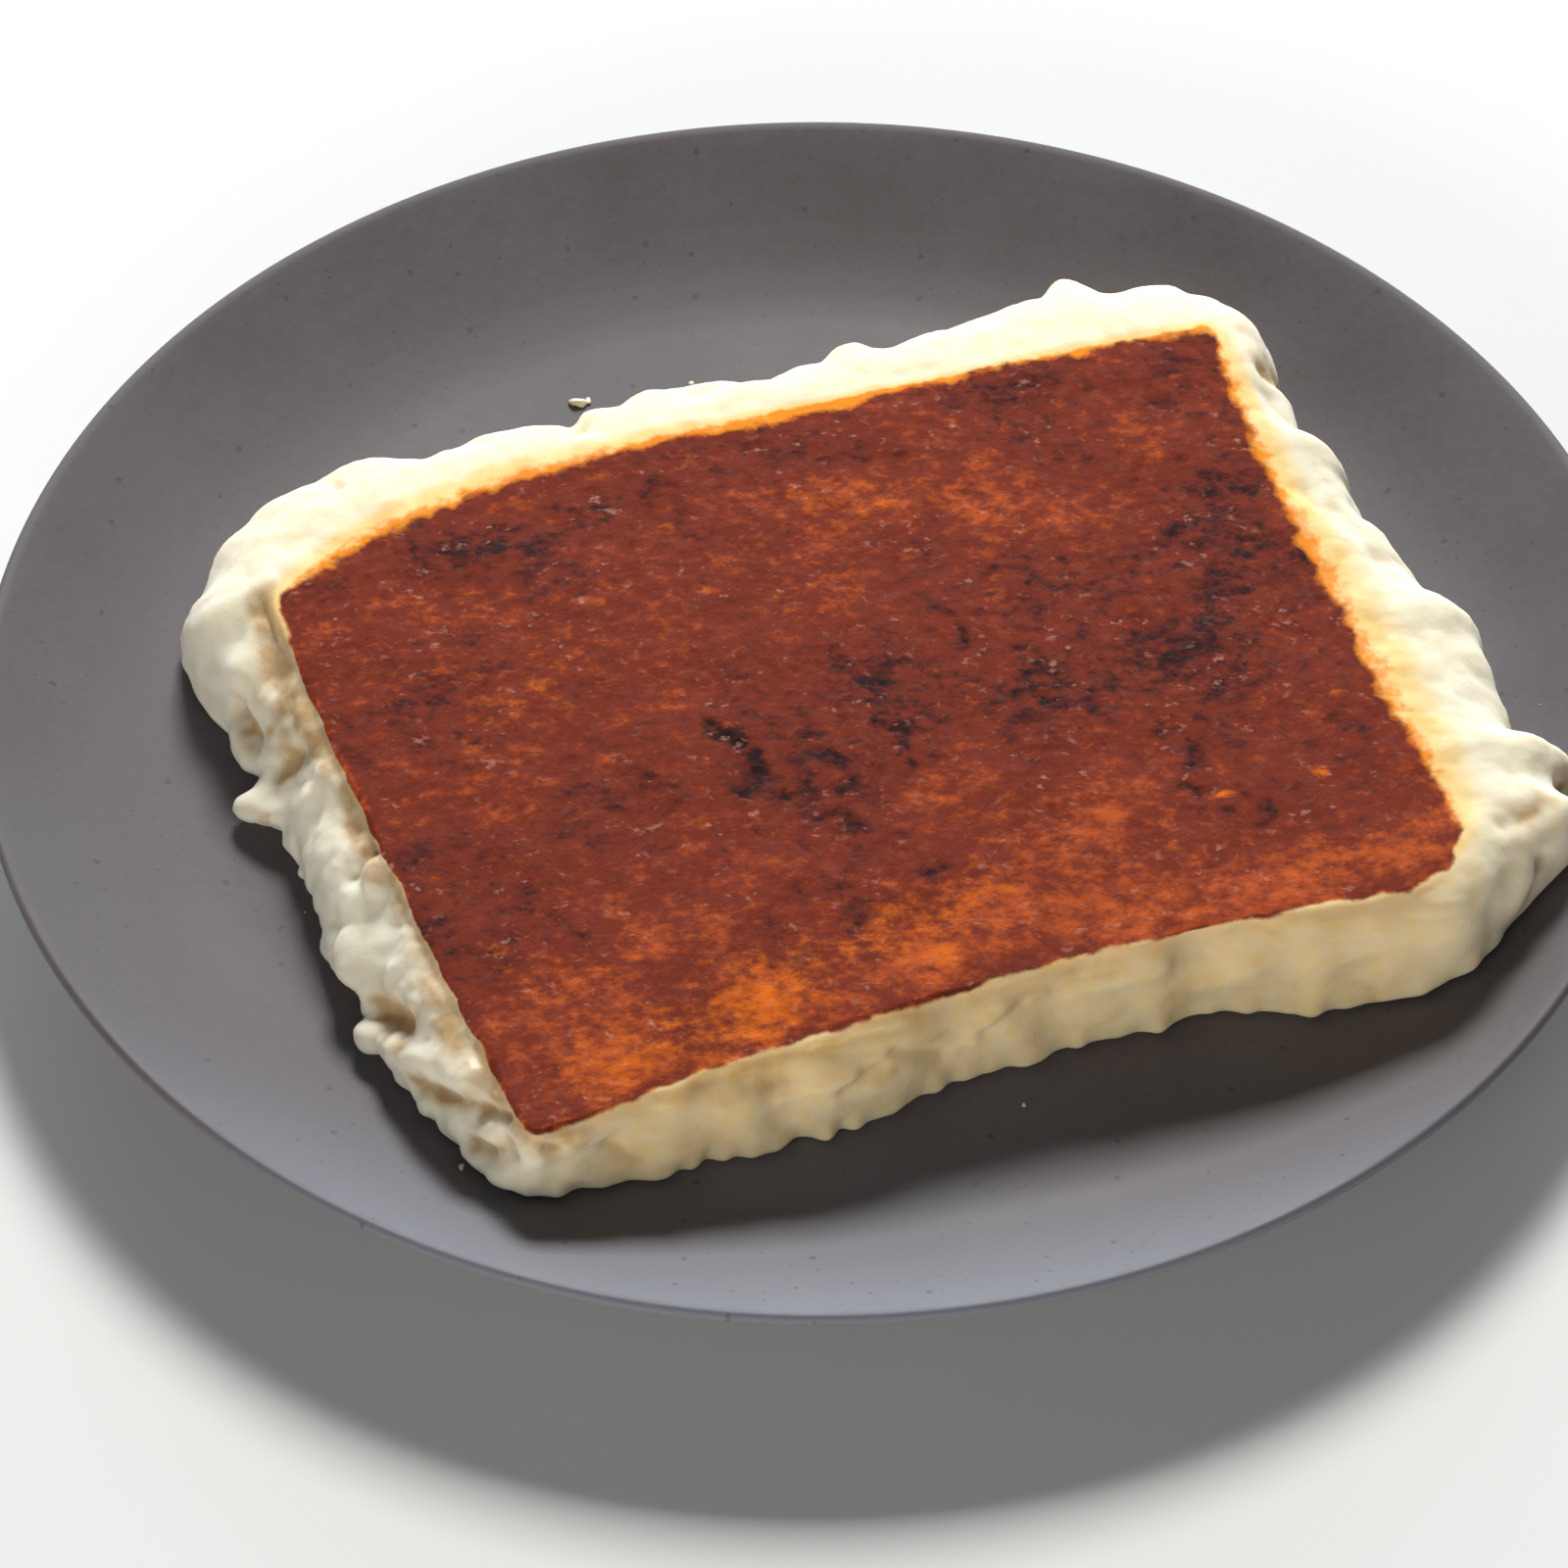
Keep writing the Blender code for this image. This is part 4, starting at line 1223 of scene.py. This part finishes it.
def crust_relief(place):
    """Height of the crust's wrinkles and grains at a point."""
    swirl_spacing, swirl_strength = WRINKLE_SWIRL
    patch_spacing, patch_contrast = WRINKLED_PATCHES
    wrinkle_spacing, wrinkle_height = WRINKLES
    swirl = noise.noise_vector(place / swirl_spacing) * swirl_strength
    patch = smooth_step(0.5 + patch_contrast * noise.noise(place / patch_spacing))
    wrinkle = (1.0 - abs(noise.noise(place / wrinkle_spacing + swirl))) ** WRINKLE_SHARPNESS
    grains = sum(height * noise.noise(place / spacing) for spacing, height in GRAINS)
    return (wrinkle_height * patch * wrinkle + grains) * MILLIMETRE


def patch_strength(patches, across, down):
    """How strongly a point of the face belongs to soft-edged patches, 0 to 1."""
    total = 0.0
    for patch_across, patch_down, half_length, half_width, strength in patches:
        x = (across - patch_across) * FACE_LENGTH / (half_length * MILLIMETRE)
        y = (down - patch_down) * FACE_WIDTH / (half_width * MILLIMETRE)
        total += strength * math.exp(-x * x - y * y)
    return min(total, 1.0)


def form_pudding(settings):
    """The pudding's vertices and faces, and for each vertex the values that its materials read."""
    columns, rows, side_rows = settings.face_columns, settings.face_rows, settings.side_rows
    crossings = border_crossings(columns, rows)
    ring_size = len(crossings)
    points, faces, data = [], [], []
    for row in range(rows + 1):
        for column in range(columns + 1):
            across, down = column / columns, row / rows
            point = face_point(across, down)
            points.append(point)
            data.append(face_data(across, down, point))
    for row in range(rows):
        for column in range(columns):
            corner = row * (columns + 1) + column
            faces.append((corner, corner + columns + 1, corner + columns + 2, corner + 1))
    upper = [row * (columns + 1) + column for column, row, station in crossings]
    sections = [side_section(station, side_rows) for column, row, station in crossings]
    paths = [0.0] * ring_size
    last = [points[index] for index in upper]
    for layer in range(len(sections[0])):
        lower = [len(points) + index for index in range(ring_size)]
        for index, (column, row, station) in enumerate(crossings):
            point = sections[index][layer]
            paths[index] += (point - last[index]).length
            last[index] = point
            points.append(point)
            data.append(side_data(station, layer >= side_rows, paths[index]))
        faces += bridge(upper, lower)
        upper = lower
    middle = len(points)
    centre = face_point(0.5, 0.5)
    centre.z = WELL_FLOOR_Z + RESTING_GAP
    points.append(centre)
    data.append(side_data(0.0, True, paths[0]))
    faces += [(upper[index - 1], upper[index], middle) for index in range(ring_size)]
    return points, faces, data


def bridge(upper, lower):
    """Quads between two closed rings of vertices."""
    return [(upper[index - 1], upper[index], lower[index], lower[index - 1]) for index in range(len(upper))]


def face_data(across, down, place):
    inside = min(across, 1.0 - across) * FACE_LENGTH
    inside = min(inside, min(down, 1.0 - down) * FACE_WIDTH)
    station = nearest_station(across, down)
    # Pits and cracks are darkened into the scorch value: partly scorched crust, partly painted shade in
    # them.
    depth, pit_shade_and_scorch = flaw_depth(across, down, place)
    return {
        "edge_distance": inside / MILLIMETRE + round_trip(EDGE_SHIFTS, station),
        "raggedness": side_value(EDGE_RAGGEDNESS, station),
        "scorch": min(patch_strength(SCORCHED_PATCHES, across, down) + pit_shade_and_scorch, MOST_SCORCH_AND_PIT_SHADE),
        "golden": patch_strength(GOLDEN_PATCHES, across, down),
        "seeping": side_value(SEEPING_AND_GLOW_STRENGTHS, station),
        "curd": 0.0,
        "soft": 0.0,
        "tone_and_edge_shade": 0.0,
        "crease_shade": 0.0,
        "wet": 0.0,
        "shift": crust_relief(place) * smooth_step(inside / RELIEF_START) - depth,
    }


def side_data(station, below, path):
    seeping = max(1.0 - path / (max(round_trip(SEEPING_AND_GLOW, station), LEAST_SEEPING_AND_GLOW) * MILLIMETRE), 0.0)
    soft = smooth_step(path / CURD_START)
    # Painted shade under the overhanging browned edge, fading out down the side.
    near_edge = 1.0 - smooth_step(path / EDGE_SHADE_WIDTH)
    groove = math.exp(-((path - GROOVE_PATH) / GROOVE_WIDTH) ** 2) * smooth_step(path / GROOVE_PATH)
    return {
        "edge_distance": round_trip(EDGE_SHIFTS, station) - path / MILLIMETRE,
        "raggedness": side_value(EDGE_RAGGEDNESS, station),
        "scorch": 0.0,
        "golden": 0.0,
        "seeping": max(seeping * side_value(SEEPING_AND_GLOW_STRENGTHS, station), side_value(WARMTH, station)),
        "curd": 0.0 if below else soft * side_value(CURD_STRENGTHS, station),
        "drag": side_value(DRAGGED_SIDES, station),
        "soft": soft,
        "tone_and_edge_shade": side_value(TANNING, station) + side_value(EDGE_SHADE, station) * near_edge,
        "crease_shade": side_value(CREASE_SHADE, station),
        "wet": side_value(WETNESS, station),
        "shift": -groove * side_value(GROOVES, station) * MILLIMETRE,
    }


def nearest_station(across, down):
    """The station on the face's border nearest to a point of the face."""
    gaps = (down * FACE_WIDTH, (1.0 - across) * FACE_LENGTH, (1.0 - down) * FACE_WIDTH, across * FACE_LENGTH)
    side = gaps.index(min(gaps))
    return min((across, 1.0 + down, 3.0 - across, 4.0 - down)[side], 3.9999)


def placed_on_sides(marks, rows):
    """Folds, or stains and painted shades, with their two ends as points on the sides."""
    placed = []
    for (from_station, from_descent), (to_station, to_descent), half_width, strength in marks:
        start = side_section(from_station, rows)[round(from_descent * rows) - 1]
        end = side_section(to_station, rows)[round(to_descent * rows) - 1]
        placed.append((start, end - start, half_width * MILLIMETRE, strength))
    return placed


def strength_at(placed, place):
    """What placed folds, or stains and painted shades, come to at a point of the sides."""
    total = 0.0
    for start, along, half_width, height in placed:
        gap = place - start
        if gap.length > along.length + FOLD_REACH * half_width:
            continue
        share = min(max(gap.dot(along) / along.length_squared, 0.0), 1.0)
        total += height * math.exp(-((gap - along * share).length / half_width) ** 2)
    return total


def press_out_curds(mesh, data, settings):
    """Push the sides out along their normals into curds, and give the face its relief."""
    normals = [normal.vector.copy() for normal in mesh.vertex_normals]
    folds = placed_on_sides(FOLDS, settings.side_rows)
    stains_and_shades = placed_on_sides(STAINS_AND_SHADES, settings.side_rows)
    wander_spacing, wander_reach = STAIN_AND_SHADE_WANDER
    hollow = []
    for vertex, normal, values in zip(mesh.vertices, normals, data):
        shift = values["shift"]
        height = stain_and_shade = 0.0
        # The stains here are mostly painted shade in the sides' recesses.
        if values["soft"] > 0.0:
            wander = noise.noise_vector(vertex.co / wander_spacing) * wander_reach
            stain_and_shade = strength_at(stains_and_shades, vertex.co + wander)
            stain_and_shade *= 1.0 + noise.noise(vertex.co / STAIN_AND_SHADE_BREAKS)
        if values["curd"] > 0.0:
            drag = values["drag"]
            if drag < 1.0:
                height += (1.0 - drag) * curds(vertex.co, settings.curd_size)
            if drag > 0.0:
                height += drag * curds(dragged(vertex.co), DRAGGED_CURD_SIZE * settings.curd_size)
            height *= values["curd"]
            height += strength_at(folds, vertex.co) * values["soft"]
            shift += height * settings.curd_height
        # Painted shade in the creases between the curds, added to the sides' own tan, the painted shade
        # under the browned edge and the stains and painted recess shades.
        crease_shade = smooth_step(-CREASE_DEPTH - CREASE_RATE * height) * values["crease_shade"]
        hollow.append(min(values["tone_and_edge_shade"] + crease_shade + stain_and_shade * values["soft"], 1.0))
        moved = vertex.co + normal * shift
        floor_z = plate_top(math.hypot(moved.x, moved.y)) + RESTING_GAP
        moved.z = max(moved.z, floor_z)
        vertex.co = moved
    return hollow


def write_attribute(mesh, name, values):
    layer = mesh.attributes.new(name, "FLOAT", "POINT")
    layer.data.foreach_set("value", values)


class KAZANDIBI_OT_pudding(Operator):
    """Form the slab of pudding, its torn sides and its browned crust"""

    bl_idname = "kazandibi.pudding"
    bl_label = "Make Pudding"

    def execute(self, context):
        settings = context.scene.kazandibi_pudding
        noise.seed_set(settings.seed)
        points, faces, data = form_pudding(settings)
        mesh = bpy.data.meshes.new("browned_pudding")
        mesh.from_pydata(points, [], faces)
        mesh.shade_smooth()
        hollow = press_out_curds(mesh, data, settings)
        for name in ("edge_distance", "raggedness", "scorch", "golden", "seeping", "wet"):
            write_attribute(mesh, name, [values[name] for values in data])
        write_attribute(mesh, "hollow", hollow)
        mesh.materials.append(cream_material(settings))
        mesh.materials.append(crust_material(settings))
        for polygon in mesh.polygons:
            if all(data[index]["edge_distance"] > CRUST_MARGIN for index in polygon.vertices):
                polygon.material_index = 1
        pudding = new_piece("browned_pudding", mesh)
        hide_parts("kazandibi")
        return {"FINISHED"}


# ---------------------------------------------------------------- crumbs


def add_crumb(grid, x, y, width, browned, layer):
    """A tiny uneven lump that rests on the plate."""
    made = bmesh.ops.create_icosphere(grid, subdivisions=2, radius=width / 2)["verts"]
    own = Vector((x, y, 0.0)) / MILLIMETRE
    swell_strength, swell_rate = CRUMB_SWELL
    bend_strength, bend_rate = CRUMB_BEND
    for vertex in made:
        swell = 1.0 + swell_strength * noise.noise(vertex.co / width * swell_rate + own)
        bend = noise.noise_vector(vertex.co / width * bend_rate + own)
        vertex.co = vertex.co * swell + bend_strength * width * bend
        vertex.co.z *= CRUMB_FLATNESS
        vertex[layer] = browned
    lowest = min(vertex.co.z for vertex in made)
    offset = Vector((x, y, plate_top(math.hypot(x, y)) - lowest))
    for vertex in made:
        vertex.co += offset


class KAZANDIBI_OT_crumbs(Operator):
    """Scatter crumbs of pudding on the plate"""

    bl_idname = "kazandibi.crumbs"
    bl_label = "Make Crumbs"

    def execute(self, context):
        settings = context.scene.kazandibi_crumbs
        draw = random.Random(settings.seed)
        noise.seed_set(settings.seed)
        grid = bmesh.new()
        layer = grid.verts.layers.float.new("browned")
        for x, y, width, browned in LONE_CRUMBS:
            add_crumb(grid, x * MILLIMETRE, y * MILLIMETRE, width * MILLIMETRE, browned, layer)
        for _ in range(settings.count):
            station = draw.uniform(0.0, 4.0)
            width = mix(settings.smallest, settings.largest, draw.random() ** 2)
            reach = foot_spread(station) + width + draw.random() ** 2 * CRUMB_SCATTER
            spot = perimeter_point(station) + outward(station) * reach
            browned = draw.choice(CRUMB_BROWNING)
            add_crumb(grid, spot.x, spot.y, width, browned, layer)
        mesh = bpy.data.meshes.new("crumbs")
        grid.to_mesh(mesh)
        grid.free()
        mesh.shade_smooth()
        mesh.materials.append(crumb_material(context.scene.kazandibi_pudding))
        new_piece("crumbs", mesh)
        return {"FINISHED"}


# ---------------------------------------------------------------- stage

# Lights: azimuth and elevation in degrees, distance, width and height, colour and the setting that
# holds their power. Azimuth 0 is behind the plate, positive to the right.
LIGHTS = {
    "key light": (3.0, 39.0, 2.4, (0.66, 0.66), (1.0, 0.985, 0.95), "key_power"),
    "fill light": (-160.0, 12.0, 2.2, (1.8, 1.2), (1.0, 0.96, 0.90), "fill_power"),
    "window": (0.0, 16.0, 2.6, (2.4, 0.9), (0.64, 0.82, 1.0), "window_power"),
}
SKY_COLOR = (0.90, 0.95, 1.0)
SKY_STRENGTH = 0.08
FLOOR_HALF_WIDTH = 6.0
FLOOR_Z = -0.0002  # just under the plate's foot
CAMERA_TARGET = (-0.0040, 0.0003, 0.0)


def aim(obj, target):
    obj.rotation_euler = (Vector(target) - obj.location).to_track_quat("-Z", "Y").to_euler()


def add_panel_light(name, azimuth, elevation, distance, size, color, power):
    """A rectangular light aimed at the plate."""
    light = bpy.data.lights.new(name, "AREA")
    light.shape = "RECTANGLE"
    light.size, light.size_y = size
    light.energy = power
    light.color = color
    lamp = bpy.data.objects.new(name, light)
    bpy.context.scene.collection.objects.link(lamp)
    level = distance * math.cos(math.radians(elevation))
    lamp.location = (level * math.sin(math.radians(azimuth)), level * math.cos(math.radians(azimuth)),
                     distance * math.sin(math.radians(elevation)))
    aim(lamp, (0.0, 0.0, PLATE_HEIGHT))


class KAZANDIBI_OT_stage(Operator):
    """Lay the pale floor and set the lights, the surroundings and the camera"""

    bl_idname = "kazandibi.stage"
    bl_label = "Make Stage"

    def execute(self, context):
        settings = context.scene.kazandibi_stage
        scene = context.scene
        grid = bmesh.new()
        bmesh.ops.create_grid(grid, x_segments=8, y_segments=8, size=FLOOR_HALF_WIDTH)
        mesh = bpy.data.meshes.new("floor")
        grid.to_mesh(mesh)
        grid.free()
        mesh.materials.append(floor_material(settings))
        floor = bpy.data.objects.new("floor", mesh)
        floor.location.z = FLOOR_Z
        scene.collection.objects.link(floor)

        for name, (*placing, power) in LIGHTS.items():
            add_panel_light(name, *placing, getattr(settings, power))

        world = bpy.data.worlds.new("studio")
        world.use_nodes = True
        background = world.node_tree.nodes["Background"]
        background.inputs["Color"].default_value = opaque(SKY_COLOR)
        background.inputs["Strength"].default_value = SKY_STRENGTH
        scene.world = world

        camera = bpy.data.objects.new("camera", bpy.data.cameras.new("camera"))
        scene.collection.objects.link(camera)
        camera.data.lens = settings.camera_lens
        camera.data.clip_end = 20.0
        back = Vector((0.0, -math.cos(settings.camera_elevation), math.sin(settings.camera_elevation)))
        camera.location = Vector(CAMERA_TARGET) + back * settings.camera_distance
        camera.rotation_euler = (math.pi / 2 - settings.camera_elevation, 0.0, 0.0)
        scene.camera = camera
        scene.view_settings.view_transform = "Standard"
        return {"FINISHED"}


# ---------------------------------------------------------------- add-on


class KAZANDIBI_PT_panel(Panel):
    """Settings and buttons for each piece"""

    bl_idname = "KAZANDIBI_PT_panel"
    bl_label = "Kazandibi"
    bl_space_type = "VIEW_3D"
    bl_region_type = "UI"
    bl_category = "Kazandibi"

    def draw(self, context):
        for name, operator in PIECES:
            box = self.layout.box()
            settings = getattr(context.scene, "kazandibi_" + name)
            for field in settings.__annotations__:
                box.prop(settings, field)
            box.operator(operator.bl_idname)


PIECES = (
    ("plate", KAZANDIBI_OT_plate),
    ("pudding", KAZANDIBI_OT_pudding),
    ("crumbs", KAZANDIBI_OT_crumbs),
    ("stage", KAZANDIBI_OT_stage),
)
SETTINGS = (
    ("kazandibi_plate", KAZANDIBI_PG_plate),
    ("kazandibi_pudding", KAZANDIBI_PG_pudding),
    ("kazandibi_crumbs", KAZANDIBI_PG_crumbs),
    ("kazandibi_stage", KAZANDIBI_PG_stage),
)
OTHER_CLASSES = (KAZANDIBI_PT_panel,)


def register():
    for name, group in SETTINGS:
        bpy.utils.register_class(group)
        setattr(bpy.types.Scene, name, PointerProperty(type=group))
    for name, operator in PIECES:
        bpy.utils.register_class(operator)
    for other in OTHER_CLASSES:
        bpy.utils.register_class(other)


def unregister():
    for other in OTHER_CLASSES:
        bpy.utils.unregister_class(other)
    for name, operator in reversed(PIECES):
        bpy.utils.unregister_class(operator)
    for name, group in reversed(SETTINGS):
        delattr(bpy.types.Scene, name)
        bpy.utils.unregister_class(group)


def main():
    register()
    bpy.ops.kazandibi.plate()
    bpy.ops.kazandibi.pudding()
    bpy.ops.kazandibi.crumbs()
    bpy.ops.kazandibi.stage()


if __name__ == "__main__":
    main()
